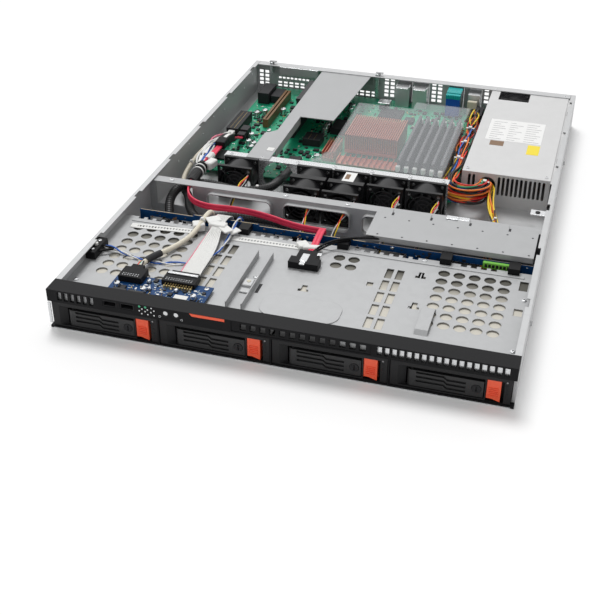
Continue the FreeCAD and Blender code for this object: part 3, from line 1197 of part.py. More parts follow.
# The flat drive cable: profile from its plug, path on edge after its first fold, profile after its second
SATA_LEFT = -8.0
SATA_DROP = [(144, 33.8), (154, 34.2), (164, 35.6), (173, 37), (181, 37.4), (188, 37.4)]
SATA_EDGE = 31.5
SATA_PATH = [(-1, 188), (-22, 188), (-44, 193), (-66, 201), (-88, 206), (-110, 206.6), (-131, 204),
             (-149, 208), (-162, 220), (-169.5, 237), (-172.5, 256), (-174, 280), (-174.6, 306),
             (-174, 332), (-173.5, 356)]
SATA_TAIL_LEFT = -177.0
SATA_TAIL = [(354, 36), (368, 36), (384, 31.4), (400, 24), (415, 16.6), (424, 14.4), (432, 14.4)]


def rounded_path(points):
    """Straight runs joined by tangent arcs as wide as the runs allow, and the radii used."""
    edges, radii = [], []
    start = points[0]
    for before, corner, after in zip(points, points[1:], points[2:]):
        into, out = corner - before, after - corner
        turn = into.getAngle(out)
        setback = 0.45 * min(into.Length, out.Length)
        radius = setback / math.tan(turn / 2)
        radii.append(radius)
        into.normalize()
        out.normalize()
        first, last = corner - into * setback, corner + out * setback
        sagitta = radius / math.cos(turn / 2) - radius
        edges.append(Part.LineSegment(start, first).toShape())
        edges.append(Part.Arc(first, corner + (out - into).normalize() * sagitta, last).toShape())
        start = last
    edges.append(Part.LineSegment(start, points[-1]).toShape())
    return Part.Wire(edges), radii


def at_depth(point):
    """A route point in the part's frame."""
    x, depth, z = point
    return Vector(x, float(FRONT) + depth, z)


def tube(name, points, radius):
    """A round cord along a route, its volume held against section times length."""
    radius = float(radius)
    path, radii = rounded_path(points)
    start = path.Edges[0]
    ring = Part.Wire(Part.makeCircle(radius, points[0], start.tangentAt(start.FirstParameter)))
    shape = path.makePipeShell([ring], True, False)
    share = shape.Volume / (math.pi * radius ** 2 * path.Length)
    tightest = min(radii) / radius / 2
    print(f"{name}: length {path.Length:.0f}, tightest radius {tightest:.1f} diameters,",
          f"volume share {share:.3f}")
    return shape


def strip(name, points, thickness, across):
    """A flat cord: a flat path given a thickness to one side, then pulled across."""
    path, radii = rounded_path(points)
    face = path.makeOffset2D(thickness, 2, True, True)
    print(f"{name}: length {path.Length:.0f}, tightest radius {min(radii):.1f}")
    return face.extrude(across)


def fan_lead(x, front, socket):
    """One fan's lead, from its housing to its socket on the backplane."""
    start = Vector(float(x) + LEAD_OFFSET, float(front), 0)
    end = float(BACKPLANE_BACK) + LEAD_SOCKET[1]
    points = [Vector(start.x + (socket - start.x) * side, start.y + (end - start.y) * way, z)
              for way, side, z in LEAD_SHAPE]
    return tube("fan_lead", points, d.fan_lead)


def make_cords():
    """Every cord inside the case, each along its own route."""
    for name, route, radius in (("usb_cable", USB_ROUTE, d.usb_cord),
                                ("switch_wires", SWITCH_ROUTE, d.wire),
                                ("drive_loom", LOOM_ROUTE, d.loom)):
        node(name, solid(tube(name, [at_depth(p) for p in route], radius)))
    wires = [tube("floor_bundle", [at_depth(p) for p in FLOOR_BUNDLE], d.floor_bundle)]
    for drop in (0, BUNDLE_DROP):
        wires.append(tube("main_bundle", [at_depth((x, y, z - drop)) for x, y, z in MAIN_BUNDLE], d.bundle))
    fronts = {}
    for x, front in fan_places():
        fronts.setdefault(float(x), front)
    for (x, front), socket in zip(fronts.items(), LEAD_SOCKETS):
        wires.append(fan_lead(x, front, socket))
    node("wiring_harness", solid(Part.makeCompound(wires)))
    plug_back = RIBBON_PROFILE[0][0]
    profile = [at_depth((RIBBON_LEFT + RIBBON_SLOPE * (y - plug_back), y, z)) for y, z in RIBBON_PROFILE]
    node("ribbon_cable", solid(strip("ribbon_cable", profile, float(d.ribbon),
                                     Vector(float(d.ribbon_width), 0, 0))))
    wide, thick = float(d.sata_width), float(d.sata_thickness)
    drop = strip("sata_drop", [at_depth((SATA_LEFT, y, z)) for y, z in SATA_DROP], thick,
                 Vector(wide, 0, 0))
    edge = strip("sata_edge", [at_depth((x, y, SATA_EDGE)) for x, y in SATA_PATH], thick,
                 Vector(0, 0, wide))
    tail = strip("sata_tail", [at_depth((SATA_TAIL_LEFT, y, z)) for y, z in SATA_TAIL], thick,
                 Vector(wide, 0, 0))
    node("sata_cable", solid(edge.fuse([drop, tail]).removeSplitter()))


def check_and_export():
    """Stop on any failed object or bad shape, then write one file for each sub-part."""
    doc.recompute()
    for item in doc.Objects:
        if {"Invalid", "Error"} & set(item.State):
            raise RuntimeError(f"{item.Label} failed: {item.State}")
    for name, item in nodes.items():
        shape = item.Shape
        if shape.isNull() or not shape.isValid() or not shape.Solids:
            raise RuntimeError(f"{name} has no valid solid")
    os.makedirs("parts", exist_ok=True)
    for name, item in nodes.items():
        item.Shape.exportStep(f"parts/{name}.step")
    print(f"{len(nodes)} sub-parts written")


make_chassis_tray()
make_rear_panel()
make_front_bezel()
make_optical_bay_door()
make_buttons()
make_bay_dividers()
make_bay_plate()
for bay in range(BAYS):
    middle_x = BAY_PITCH * (bay - (BAYS - 1) / 2)
    make_carrier(bay + 1, middle_x)
    make_lever(bay + 1, middle_x)
    make_lock(bay + 1, middle_x)
    make_latch(bay + 1, middle_x)
make_panel_board()
make_cable_plugs()
make_intrusion_switch()
make_backplane()
make_fan_wall()
make_cover_plate()
make_fans()
make_fan_bracket()
make_motherboard()
make_board_parts()
make_heat_sinks()
make_memory()
make_air_duct()
make_expansion_slots()
make_riser()
make_ports()
make_power_supply()
make_cords()
check_and_export()
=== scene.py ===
import math
import random

import bmesh
import bpy
from mathutils import Matrix, Vector


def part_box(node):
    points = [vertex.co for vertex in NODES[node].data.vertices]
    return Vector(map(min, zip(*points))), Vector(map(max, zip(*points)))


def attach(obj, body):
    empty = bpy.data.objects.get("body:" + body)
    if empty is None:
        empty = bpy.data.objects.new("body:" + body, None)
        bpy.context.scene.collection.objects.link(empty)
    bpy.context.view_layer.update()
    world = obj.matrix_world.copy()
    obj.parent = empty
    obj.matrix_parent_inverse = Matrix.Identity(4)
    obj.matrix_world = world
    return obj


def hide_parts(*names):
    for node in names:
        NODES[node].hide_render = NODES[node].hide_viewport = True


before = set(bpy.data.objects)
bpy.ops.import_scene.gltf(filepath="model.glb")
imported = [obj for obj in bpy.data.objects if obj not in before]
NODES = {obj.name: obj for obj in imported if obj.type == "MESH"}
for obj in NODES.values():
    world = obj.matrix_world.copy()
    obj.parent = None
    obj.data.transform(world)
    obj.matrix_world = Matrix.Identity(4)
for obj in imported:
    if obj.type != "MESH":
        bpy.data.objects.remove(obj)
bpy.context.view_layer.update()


# Places taken from the frame, in millimetres: across, back from the bezel's face, and up

X, Y, Z = range(3)


def edges(node, axis):
    """A node's lowest and highest place along an axis."""
    return [round(corner[axis] * 1000, 2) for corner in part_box(node)]


def middle(node, axis):
    """The middle of a node along an axis."""
    return round(sum(edges(node, axis)) / 2, 2)


BEZEL_FACE = edges("front_bezel", Y)[0]
PLATE_TOP = edges("intrusion_switch", Z)[0]
PANEL_TOP = edges("front_panel_board", Z)[1]
BOARD_TOP = edges("motherboard", Z)[1]
SUPPLY_TOP = edges("psu_case", Z)[1]
BAY_MIDDLES = [middle(f"drive_carrier_{i}", X) for i in range(1, 5)]
FAN_ROTORS = [f"fan_rotor_{i}" for i in range(1, 8)]
ROTOR_SETBACK = 5.7
FAN_Z = middle("fan_frames", Z)


def at(x, depth, z):
    """A point of the tables in the part's frame, in metres."""
    return Vector((x, depth + BEZEL_FACE, z)) / 1000


# Materials

SPANGLE_SHARE, GRAIN_SHARE = 0.55, 0.45
GLOSS_SPREAD, RELIEF_DEPTH = 0.08, 0.0004


def add(tree, kind, inputs=None, **settings):
    """A new shading node with its settings and constant inputs."""
    node = tree.nodes.new("ShaderNode" + kind)
    for name, value in settings.items():
        setattr(node, name, value)
    for socket, value in (inputs or {}).items():
        node.inputs[socket].default_value = value
    return node


def material(name, colour, rough, metal=0, vary=0.08, grain=500, bump=0.04, edge=0, spangle=0,
             **more):
    """A procedural surface whose colour, gloss and relief vary with a grain, and with spangle if asked."""
    mat = bpy.data.materials.new(name)
    mat.use_nodes = True
    tree, link = mat.node_tree, mat.node_tree.links.new
    shader = tree.nodes["Principled BSDF"]
    shader.inputs["Metallic"].default_value = metal
    for socket, value in more.items():
        shader.inputs[socket.replace("_", " ")].default_value = value
    place = add(tree, "TexCoord").outputs["Object"]
    noise = add(tree, "TexNoise", {"Scale": grain, "Detail": 3})
    link(place, noise.inputs["Vector"])
    drive = noise.outputs["Fac"]
    if spangle:
        cells = add(tree, "TexVoronoi", {"Scale": spangle})
        link(place, cells.inputs["Vector"])
        shades = add(tree, "SeparateColor")
        link(cells.outputs["Color"], shades.inputs["Color"])
        blend = add(tree, "Math", {1: SPANGLE_SHARE}, operation="MULTIPLY_ADD")
        link(shades.outputs["Red"], blend.inputs[0])
        part = add(tree, "Math", {1: GRAIN_SHARE}, operation="MULTIPLY")
        link(drive, part.inputs[0])
        link(part.outputs[0], blend.inputs[2])
        drive = blend.outputs[0]
    darker = [c * (1 - vary) for c in colour]
    lighter = [min(1, c * (1 + vary)) for c in colour]
    tint = add(tree, "Mix", data_type="RGBA")
    tint.inputs["A"].default_value = (*darker, 1)
    tint.inputs["B"].default_value = (*lighter, 1)
    link(drive, tint.inputs["Factor"])
    link(tint.outputs["Result"], shader.inputs["Base Color"])
    gloss = add(tree, "MapRange", {"To Min": max(0.02, rough - GLOSS_SPREAD),
                                   "To Max": min(1, rough + GLOSS_SPREAD)})
    link(drive, gloss.inputs["Value"])
    link(gloss.outputs["Result"], shader.inputs["Roughness"])
    relief = add(tree, "Bump", {"Strength": bump, "Distance": RELIEF_DEPTH})
    link(noise.outputs["Fac"], relief.inputs["Height"])
    if edge:
        rounded = add(tree, "Bevel", {"Radius": edge / 1000}, samples=4)
        link(rounded.outputs["Normal"], relief.inputs["Normal"])
    link(relief.outputs["Normal"], shader.inputs["Normal"])
    return mat


STEEL = material("galvanised", (0.5, 0.505, 0.51), 0.5, 0.35, 0.035, 900, 0.03, 0.5, spangle=160)
PLATE = material("bay_plate", (0.41, 0.415, 0.42), 0.5, 0.35, 0.05, 900, 0.04, 0.5, spangle=160)
SHINY = material("bright_steel", (0.68, 0.69, 0.7), 0.28, 0.9, 0.04, 700, 0.02, 0.4)
GREY_STEEL = material("grey_plate", (0.38, 0.385, 0.39), 0.5, 0.35, 0.04, 700, 0.03, 0.5, spangle=120)
SUPPLY = material("supply_case", (0.58, 0.58, 0.58), 0.52, 0.3, 0.03, 800, 0.03, 0.6, spangle=140)
BLACK = material("black_moulding", (0.009, 0.009, 0.01), 0.46, 0, 0.25, 1400, 0.12, 0.5,
                 Specular_IOR_Level=0.11)
SATIN_BLACK = material("satin_black", (0.008, 0.008, 0.009), 0.34, 0, 0.2, 900, 0.05, 0.4,
                       Specular_IOR_Level=0.28)
LEVER = material("lever_black", (0.017, 0.017, 0.018), 0.4, 0, 0.2, 900, 0.05, 0.4,
                 Specular_IOR_Level=0.5)
DARK = material("dark_plastic", (0.018, 0.018, 0.02), 0.5, 0, 0.2, 800, 0.08, 0.3,
                Specular_IOR_Level=0.25)
SLEEVE = material("ribbed_sleeve", (0.014, 0.014, 0.015), 0.4, 0, 0.2, 900, 0.05, Specular_IOR_Level=0.4)
ORANGE = material("release_orange", (0.98, 0.115, 0.042), 0.38, 0, 0.06, 900, 0.05, 0.5)
BLUE_BOARD = material("blue_board", (0.005, 0.05, 0.165), 0.38, 0, 0.3, 260, 0.03, Specular_IOR_Level=0.2)
GREEN_BOARD = material("green_board", (0.01, 0.36, 0.19), 0.4, 0, 0.35, 240, 0.04)
COPPER = material("copper", (0.68, 0.27, 0.19), 0.36, 0.8, 0.1, 500, 0.03)
SILVER = material("silver", (0.7, 0.71, 0.72), 0.25, 0.9, 0.05, 700, 0.02, 0.2)
GOLD = material("gold_contact", (0.72, 0.54, 0.24), 0.3, 0.9, 0.08, 700, 0.02)
WHITE = material("white_plastic", (0.82, 0.82, 0.8), 0.45, 0, 0.04, 500, 0.05)
IVORY = material("ivory_plastic", (0.62, 0.58, 0.46), 0.5, 0, 0.08, 500, 0.05)
BROWN = material("brown_slot", (0.2, 0.11, 0.05), 0.5, 0, 0.15, 500, 0.05)
TEAL = material("teal_plastic", (0.005, 0.4, 0.4), 0.4, 0, 0.1, 500, 0.05)
PORT_BLUE = material("port_blue", (0.008, 0.08, 0.46), 0.4, 0, 0.1, 500, 0.05)
LABEL = material("blank_label", (0.86, 0.86, 0.85), 0.55, 0, 0.03, 300, 0.02)
YELLOW_PLATE = material("yellow_plate", (0.9, 0.72, 0.02), 0.5, 0, 0.05, 300, 0.02)
MEMORY = material("memory_spreader", (0.1, 0.103, 0.108), 0.5, 0.25, 0.08, 500, 0.03, 0.3)
LIGHT_GREEN = material("light_green_block", (0.2, 0.56, 0.07), 0.4, 0, 0.08, 500, 0.03)
SILK = material("board_marks", (0.62, 0.7, 0.66), 0.5, 0, 0.05, 500, 0.02)
LAMP = material("green_lamp", (0.06, 0.42, 0.22), 0.3, 0, 0.05, 500, 0.02)
CLEAR = material("clear_duct", (0.88, 0.91, 0.94), 0.14, 0, 0.03, 300, 0.02, Alpha=0.15)
JACKET_COLOURS = {
    "red": (0.8, 0.03, 0.022), "black": (0.011, 0.011, 0.012), "yellow": (0.93, 0.66, 0.03),
    "orange": (0.93, 0.23, 0.03), "blue": (0.02, 0.12, 0.5), "green": (0.02, 0.3, 0.14),
    "white": (0.78, 0.78, 0.76), "pink": (0.75, 0.22, 0.3), "beige": (0.76, 0.71, 0.58),
    "crimson": (0.78, 0.028, 0.085), "grey": (0.3, 0.3, 0.31)}
JACKETS = {name: material(f"jacket_{name}", colour, 0.48, 0, 0.08, 700, 0.06)
           for name, colour in JACKET_COLOURS.items()}


def two_tone(name, near, far, axis, limit, far_metal=0, painted_shade=None):
    """A surface that changes colour where a part changes material, and beyond that can darken into a painted
    shade.
    """
    mat = material(name, near, 0.42, 0, 0.2, 1200, 0.1, 0.5, Specular_IOR_Level=0.28)
    tree, link = mat.node_tree, mat.node_tree.links.new
    shader = tree.nodes["Principled BSDF"]
    first = tree.nodes["Mix"]
    split = add(tree, "SeparateXYZ")
    link(tree.nodes["Texture Coordinate"].outputs["Object"], split.inputs["Vector"])
    beyond = add(tree, "Math", {1: limit / 1000}, operation="GREATER_THAN")
    link(split.outputs[axis], beyond.inputs[0])
    tint = add(tree, "Mix", data_type="RGBA")
    tint.inputs["B"].default_value = (*far, 1)
    link(beyond.outputs[0], tint.inputs["Factor"])
    link(first.outputs["Result"], tint.inputs["A"])
    link(tint.outputs["Result"], shader.inputs["Base Color"])
    # Painted shade: the far colour darkens along the axis and stands in for the shade deep in the bay.
    if painted_shade:
        start, end, last = painted_shade
        deep = add(tree, "MapRange", {"From Min": start / 1000, "From Max": end / 1000})
        link(split.outputs[axis], deep.inputs["Value"])
        shade = add(tree, "Mix", data_type="RGBA")
        shade.inputs["A"].default_value = (*far, 1)
        shade.inputs["B"].default_value = (*last, 1)
        link(deep.outputs["Result"], shade.inputs["Factor"])
        link(shade.outputs["Result"], tint.inputs["B"])
    if far_metal:
        gain = add(tree, "Math", {1: far_metal}, operation="MULTIPLY")
        link(beyond.outputs[0], gain.inputs[0])
        link(gain.outputs[0], shader.inputs["Metallic"])
    return mat


# The drive's pale top, darkening further back with painted shade for the shaded bay behind the drive.
DRIVE_START, DRIVE_SHADE_START, DRIVE_SHADE_END = BEZEL_FACE + 21.5, BEZEL_FACE + 106, BEZEL_FACE + 142
CARRIER = two_tone("carrier_and_drive", (0.01, 0.01, 0.011), (0.6, 0.57, 0.5), "Y", DRIVE_START, 0.1,
                   (DRIVE_SHADE_START, DRIVE_SHADE_END, (0.08, 0.076, 0.062)))
PORTS = two_tone("port_shells", (0.02, 0.02, 0.022), (0.66, 0.67, 0.68), "Y", 0, 0.9)
SLOTS = two_tone("card_slots", (0.2, 0.11, 0.05), (0.02, 0.02, 0.022), "X", -140)
NODE_LOOKS = {
    STEEL: ("chassis_tray", "rear_panel", "drive_bay_dividers"),
    PLATE: ("drive_bay_top",),
    GREY_STEEL: ("channel_cover", "riser_bracket", "fan_wall"),
    SHINY: ("fan_bracket", "power_button", "locator_button"),
    PORTS: ("ports",),
    SUPPLY: ("psu_case",),
    BLACK: ("front_bezel", "optical_bay_door", "intrusion_switch", "cable_plugs", "backplane_sockets"),
    SATIN_BLACK: ("fan_frames",),
    LEVER: [f"pull_lever_{i}" for i in range(1, 5)],
    DARK: (*FAN_ROTORS, "psu_fan_rotor", "psu_inlet", "board_components", "memory_sockets",
           *[f"carrier_lock_{i}" for i in range(1, 5)]),
    CARRIER: [f"drive_carrier_{i}" for i in range(1, 5)],
    ORANGE: [f"release_latch_{i}" for i in range(1, 5)],
    BLUE_BOARD: ("front_panel_board", "backplane_board"),
    GREEN_BOARD: ("motherboard", "riser_card"),
    SLOTS: ("expansion_slots",),
    WHITE: ("intrusion_plunger",),
    COPPER: ("heat_sinks",),
    CLEAR: ("air_duct",),
    MEMORY: ("memory_modules",),
}
for look, names in NODE_LOOKS.items():
    for name in names:
        mesh = NODES[name].data
        mesh.materials.clear()
        mesh.materials.append(look)


# Building small pieces

AXIS_TURN = {"X": Matrix.Rotation(math.pi / 2, 4, "Y"), "Y": Matrix.Rotation(-math.pi / 2, 4, "X"),
             "Z": Matrix.Identity(4)}
SCREW_RIM, SCREW_CROWN, SCREW_TAPER, RECESS_REACH = 0.7, 0.6, 0.6, 0.45


def facing(axis, x, depth, z):
    """A placement whose upright points along an axis."""
    return Matrix.Translation(at(x, depth, z)) @ AXIS_TURN[axis]


def circle(radius, sides=8):
    """Points round a circle, in millimetres."""
    angles = [2 * math.pi * i / sides for i in range(sides)]
    return [(radius * math.cos(angle), radius * math.sin(angle)) for angle in angles]


class Kit:
    """Small solids gathered into one object that rides on a body."""

    def __init__(self, name, body="chassis", slot=None):
        self.name, self.body, self.slot = name, body, slot
        self.bm = bmesh.new()
        self.looks = []

    def _paint(self, verts, look):
        """Give the faces round some points their surface."""
        if look not in self.looks:
            self.looks.append(look)
        for vert in verts:
            for face in vert.link_faces:
                face.material_index = self.looks.index(look)

    def _skin(self, loops, look, closed=False):
        """Faces between neighbouring loops of points, joined round or capped at both ends."""
        count = len(loops[0])
        for first, second in zip(loops, loops[1:] + loops[:1] * closed):
            for corner in range(count):
                beside = (corner + 1) % count
                self.bm.faces.new((first[corner], first[beside], second[beside], second[corner]))
        if not closed:
            self.bm.faces.new(loops[0][::-1])
            self.bm.faces.new(loops[-1])
        self._paint([vert for loop in loops for vert in loop], look)

    def box(self, look, x0, x1, y0, y1, z0, z1, bevel=0, turn=0):
        """A block between two corners, its edges softened, turned about its own upright middle."""
        centre = at((x0 + x1) / 2, (y0 + y1) / 2, (z0 + z1) / 2)
        spread = Matrix.Diagonal(((x1 - x0) / 1000, (y1 - y0) / 1000, (z1 - z0) / 1000, 1))
        spin = Matrix.Rotation(math.radians(turn), 4, "Z")
        made = bmesh.ops.create_cube(self.bm, size=1, matrix=Matrix.Translation(centre) @ spin @ spread)
        if bevel:
            sides = list({e for v in made["verts"] for e in v.link_edges})
            made = bmesh.ops.bevel(self.bm, geom=sides, offset=bevel / 1000, segments=1, affect="EDGES")
        self._paint(made["verts"], look)

    def blocks(self, rows):
        """A block for each row of a table: surface, corners, and its bevel and turn if it has them."""
        for row in rows:
            self.box(*row)

    def rod(self, look, axis, x, y, z, radius, length, tip=None, sides=20):
        """A round bar from a point along an axis, tapered to another radius if asked."""
        shift = Matrix.Translation((0, 0, length / 2000))
        made = bmesh.ops.create_cone(self.bm, cap_ends=True, segments=sides, radius1=radius / 1000,
                                     radius2=(radius if tip is None else tip) / 1000, depth=length / 1000,
                                     matrix=facing(axis, x, y, z) @ shift)
        self._paint(made["verts"], look)

    def ring(self, look, place, radius, thick, wide=None, sides=28, section=8):
        """A ring about a placement's own upright, of round wire or of flat band."""
        wide = thick if wide is None else wide
        loops = []
        for step in range(sides):
            around = 2 * math.pi * step / sides
            loop = []
            for corner in range(section):
                inward = 2 * math.pi * (corner + 0.5) / section
                reach = (radius + thick * math.cos(inward)) / 1000
                lift = wide * math.sin(inward) / 1000
                spot = Vector((reach * math.cos(around), reach * math.sin(around), lift))
                loop.append(self.bm.verts.new(place @ spot))
            loops.append(loop)
        self._skin(loops, look, closed=True)

    def screw(self, x, y, z, radius=2.6, look=None):
        """A pan-head screw seen from above, with its cross recess drawn as painted shade."""
        look = look or SILVER
        crown = z + SCREW_RIM + SCREW_CROWN
        arm = radius * RECESS_REACH
        self.rod(look, "Z", x, y, z, radius, SCREW_RIM)
        self.rod(look, "Z", x, y, z + SCREW_RIM, radius, SCREW_CROWN, tip=radius * SCREW_TAPER)
        # The cross recess: two thin dark bars, painted shade in the recess.
        for turn in (20, 110):
            self.box(DARK, x - arm, x + arm, y - 0.25, y + 0.25, crown - 0.1, crown + 0.05, turn=turn)

    def sweep(self, look, line, section, across=None):
        """A section of (aside, up) points carried along a line, its first axis held if asked."""
        loops = []
        side = None
        for index, spot in enumerate(line):
            along = (line[min(index + 1, len(line) - 1)] - line[max(index - 1, 0)]).normalized()
            if across is not None:
                side = across
            else:
                guess = side if side is not None else along.orthogonal()
                side = (guess - along * guess.dot(along)).normalized()
            rise = side.cross(along).normalized()
            points = section(index) if callable(section) else section
            loops.append([self.bm.verts.new(spot + (side * u + rise * v) / 1000) for u, v in points])
        self._skin(loops, look)

    def done(self, smooth=False):
        """The finished object, riding on its body."""
        bmesh.ops.recalc_face_normals(self.bm, faces=self.bm.faces)
        mesh = bpy.data.meshes.new(self.name)
        self.bm.to_mesh(mesh)
        self.bm.free()
        for look in self.looks:
            mesh.materials.append(look)
        if smooth:
            mesh.polygons.foreach_set("use_smooth", [True] * len(mesh.polygons))
        item = bpy.data.objects.new(self.name, mesh)
        bpy.context.scene.collection.objects.link(item)
        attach(item, self.body)
        return item


# Cords: smooth splines along the solids' routes, some points moved, and a few cords that CAD lacks

USB_ROUTE = [
    (-152, 67, 37.2), (-152, 77, 37.2), (-148.6, 91, 36), (-142, 107, 34.2), (-135.5, 123, 33.4),
    (-129.5, 139, 34.4), (-126.5, 154, 36.6), (-125.5, 168, 39.4), (-125.6, 181, 39.8), (-126, 192, 36.8),
    (-126.4, 198, 29.4), (-128, 201, 21.4), (-134, 204.5, 15.4), (-146, 210, 13), (-158, 219, 13.6),
    (-167.5, 232, 16.2), (-173, 246, 17.6), (-180, 260, 15.6), (-189.5, 273, 14.4), (-197, 288, 14.8),
    (-201, 305, 16.4), (-201.4, 324, 19.4), (-200.4, 344, 22), (-198.6, 364, 22.8), (-195.6, 383, 22),
    (-192, 401, 19.2), (-188.5, 417, 14.8), (-188.5, 432, 14.6)]
SWITCH_ROUTE = [
    (-204, 98, 34.5), (-194, 98, 34.5), (-180, 94, 32.4), (-164, 89.4, 31.8), (-147, 87.6, 31.7),
    (-130, 89.6, 31.7), (-114, 95, 31.7), (-101.5, 104.5, 31.7), (-94.5, 118, 31.8), (-92.2, 134, 32.2),
    (-91.8, 150, 33.6), (-92.1, 165, 36.8), (-92, 177, 39.4), (-92, 185, 38.4), (-92, 190.5, 34),
    (-92, 192, 28), (-92, 192, 22)]
LOOM_ROUTE = [
    (-184, 191.6, 11), (-181, 203, 11.4), (-183.5, 215, 14.4), (-188.5, 227, 18.8), (-190, 239, 23.2),
    (-188.4, 253.2, 25.6), (-179.4, 265.8, 25.8), (-166.2, 273, 25.2), (-147, 271.6, 24.8),
    (-128, 266.4, 25.4), (-109.8, 266, 26.6), (-97.2, 273.2, 27), (-90, 285.8, 25.2), (-90.2, 302, 21.6),
    (-90.4, 319, 18.2), (-90, 336, 15.8), (-89, 351, 14.6), (-89, 364, 14.6)]
MAIN_BUNDLE = [
    (137, 360.5, 30.7), (137, 350.2, 30.7), (137, 339.8, 30.4), (131.8, 330.8, 30), (122.8, 325.6, 29.4),
    (112.4, 325.6, 28.8), (103.4, 330.8, 28.4), (98.2, 339.8, 28), (97.4, 355, 27.6), (98.2, 376, 27.2),
    (99.2, 402, 26.8), (99.6, 430, 26.4), (99.4, 458, 26.2), (98.8, 485, 26), (98, 509, 24.8),
    (97.2, 529, 21.6), (96.5, 544, 18.9), (96.5, 556, 18.9)]
FLOOR_BUNDLE = [
    (144.2, 358, 27), (144.2, 347, 26.8), (145.2, 333, 25.4), (148.4, 317, 22.6), (153.6, 301, 20.2),
    (159, 285, 19.4), (163, 268, 20), (164.6, 250, 21.2), (164.2, 233, 21), (162.6, 219, 17.4),
    (160.4, 209, 13), (159.5, 199.1, 11), (159.5, 191.6, 11)]
REAR_LOOP = [
    (97.6, 512, 26.4), (98.4, 524, 29.6), (98.8, 537, 31.6), (98.2, 549, 30.4), (97.2, 557, 26),
    (96.8, 559, 20.4)]
LEAD_SHAPE = [
    (0, 0, 33), (0.1, 0, 33), (0.22, 0.06, 33.4), (0.35, 0.24, 32.6), (0.48, 0.5, 30), (0.6, 0.72, 25.4),
    (0.71, 0.9, 19.8), (0.81, 0.98, 15), (0.91, 1, 12), (1, 1, 12)]
LEADS = [(-119, 290, -119), (-33.2, 262, -33), (9.7, 262, 0), (52.6, 290, 52), (95.5, 290, 88)]
LEAD_END = 189.6
RIBBON_PROFILE = [
    (70, 36.4), (82, 36.4), (98, 35.2), (116, 34.4), (134, 34.9), (150, 36.6), (164, 38.8), (176, 39.6),
    (185, 38.4), (190.8, 33.8), (190.8, 28)]
RIBBON_LEFT, RIBBON_SLOPE, RIBBON_WIDTH, RIBBON_TIE = -112, -0.06, 20, 163
RIBBON_CORES, CORE_OVERLAP, CORE_HALF = 16, 1.04, 0.5
TIE_PINCH, TIE_REACH, TIE_LIFT = 0.45, 26, 2.4
CORE_OUTLINE = ((-1, -0.5), (-0.6, -1), (0.6, -1), (1, -0.5), (1, 0.5), (0.6, 1), (-0.6, 1), (-1, 0.5))
DATA_LEVEL, DATA_DROP_X, DATA_TAIL_X, DATA_TWIST = 35, -4.5, -173.5, (300, 336)
DATA_RUN = [(x, y, DATA_LEVEL) for x, y in (
    (-1, 188), (-22, 188), (-44, 193), (-66, 201), (-88, 206), (-110, 206.6), (-131, 204), (-149, 208),
    (-162, 220), (-169.5, 237), (-172.5, 256), (-174, 280), (-174.6, 306), (-174, 332), (-173.5, 356))]
DATA_DROP = [(DATA_DROP_X, y, z) for y, z in (
    (144, 33.8), (154, 34.2), (164, 35.6), (173, 37), (181, 37.4), (188, 37.4))]
DATA_TAIL = [(DATA_TAIL_X, y, z) for y, z in (
    (354, 36), (368, 36), (384, 31.4), (400, 24), (415, 16.6), (424, 14.4), (432, 14.4))]
FLAT_SECTION = [
    (-3.5, -0.7), (-2.6, -1.1), (-0.9, -1.1), (0, -0.75), (0.9, -1.1), (2.6, -1.1), (3.5, -0.7), (3.5, 0.7),
    (2.6, 1.1), (0.9, 1.1), (0, 0.75), (-0.9, 1.1), (-2.6, 1.1), (-3.5, 0.7)]
CORNER_ROUTE = [
    (-177, 294, 33.6), (-180, 308, 34), (-184, 326, 33.6), (-187.6, 346, 31.6), (-190, 366, 28),
    (-191, 388, 23.4), (-190.4, 408, 19), (-188.6, 424, 16.4)]
LOW_ROUTE = [
    (-152, 214, 13), (-140, 210, 17), (-122, 208.5, 23), (-100, 208, 26), (-78, 208, 26.4), (-58, 209, 24.4),
    (-44, 213, 17), (-38, 220, 8)]
PLUG_PAIR_ROUTE = [
    (-2, 145, 35), (4, 156, 37), (16, 168, 38.5), (34, 178, 39.4), (52, 184, 39.4), (66, 192, 36)]
LOOM_RADIUS, USB_RADIUS, SLEEVE_RADIUS, DATA_SLEEVE_RADIUS, GROOVE = 5, 2.6, 4.8, 6.2, 0.87
PAIR_WIDTH, BUNDLE_WIDTH, FLOOR_WIDTH, LEAD_WIDTH = 3.6, 13, 7.5, 4.2
DATA_WIDTH, CORNER_WIDTH, PLUG_PAIR_WIDTH = 7, 9.5, 4.6
UPPER_WIRES = ("black black black orange black black red orange red black blue orange "
               "black red green orange black red")
LOWER_WIRES = ("red orange black red blue orange black red orange yellow black "
               "orange red blue red orange black red")
LOW_WIRES = "red black red orange blue red black"
FLOOR_WIRES = "yellow orange yellow black yellow red orange yellow black"
LOOP_WIRES = "yellow black yellow black orange"
LEAD_WIRES = "red yellow black white"
CORNER_WIRES = "white white blue white white black white pink white"
WIRE_RADIUS, WIRE_SIDES, INNER_WIRES, INNER_RING, OUTER_RING = 0.95, 7, 7, 2, 3.9
BUNDLE_DROP, BUNDLE_LIFT = 6.5, 3.2
BUNDLES = [
    (UPPER_WIRES, 0, 0, 2.6), (LOWER_WIRES, BUNDLE_DROP, BUNDLE_DROP, -2.6), (LOW_WIRES, 12.5, 8, -1)]
SWAY_WAVE = ((1, 0.17, 5),)
ASIDE_WAVES = ((1, 0.11, 7), (0.5, 0.29, 13))
ABOVE_WAVES = ((1, 0.13, 11), (0.5, 0.23, 3))
ENDS_DRAWN_IN, END_POINTS = 0.35, 6
ACROSS, UPRIGHT = Vector((1, 0, 0)), Vector((0, 0, 1))


def spline_curve(name, route):
    """A smooth spline with a route's points as its control points."""
    curve = bpy.data.curves.new(name, "CURVE")
    curve.dimensions = "3D"
    curve.resolution_u = 10
    spline = curve.splines.new("NURBS")
    spline.points.add(len(route) - 1)
    for point, spot in zip(spline.points, route):
        point.co = (*at(*spot), 1)
    spline.order_u = 3
    spline.use_endpoint_u = True
    return curve


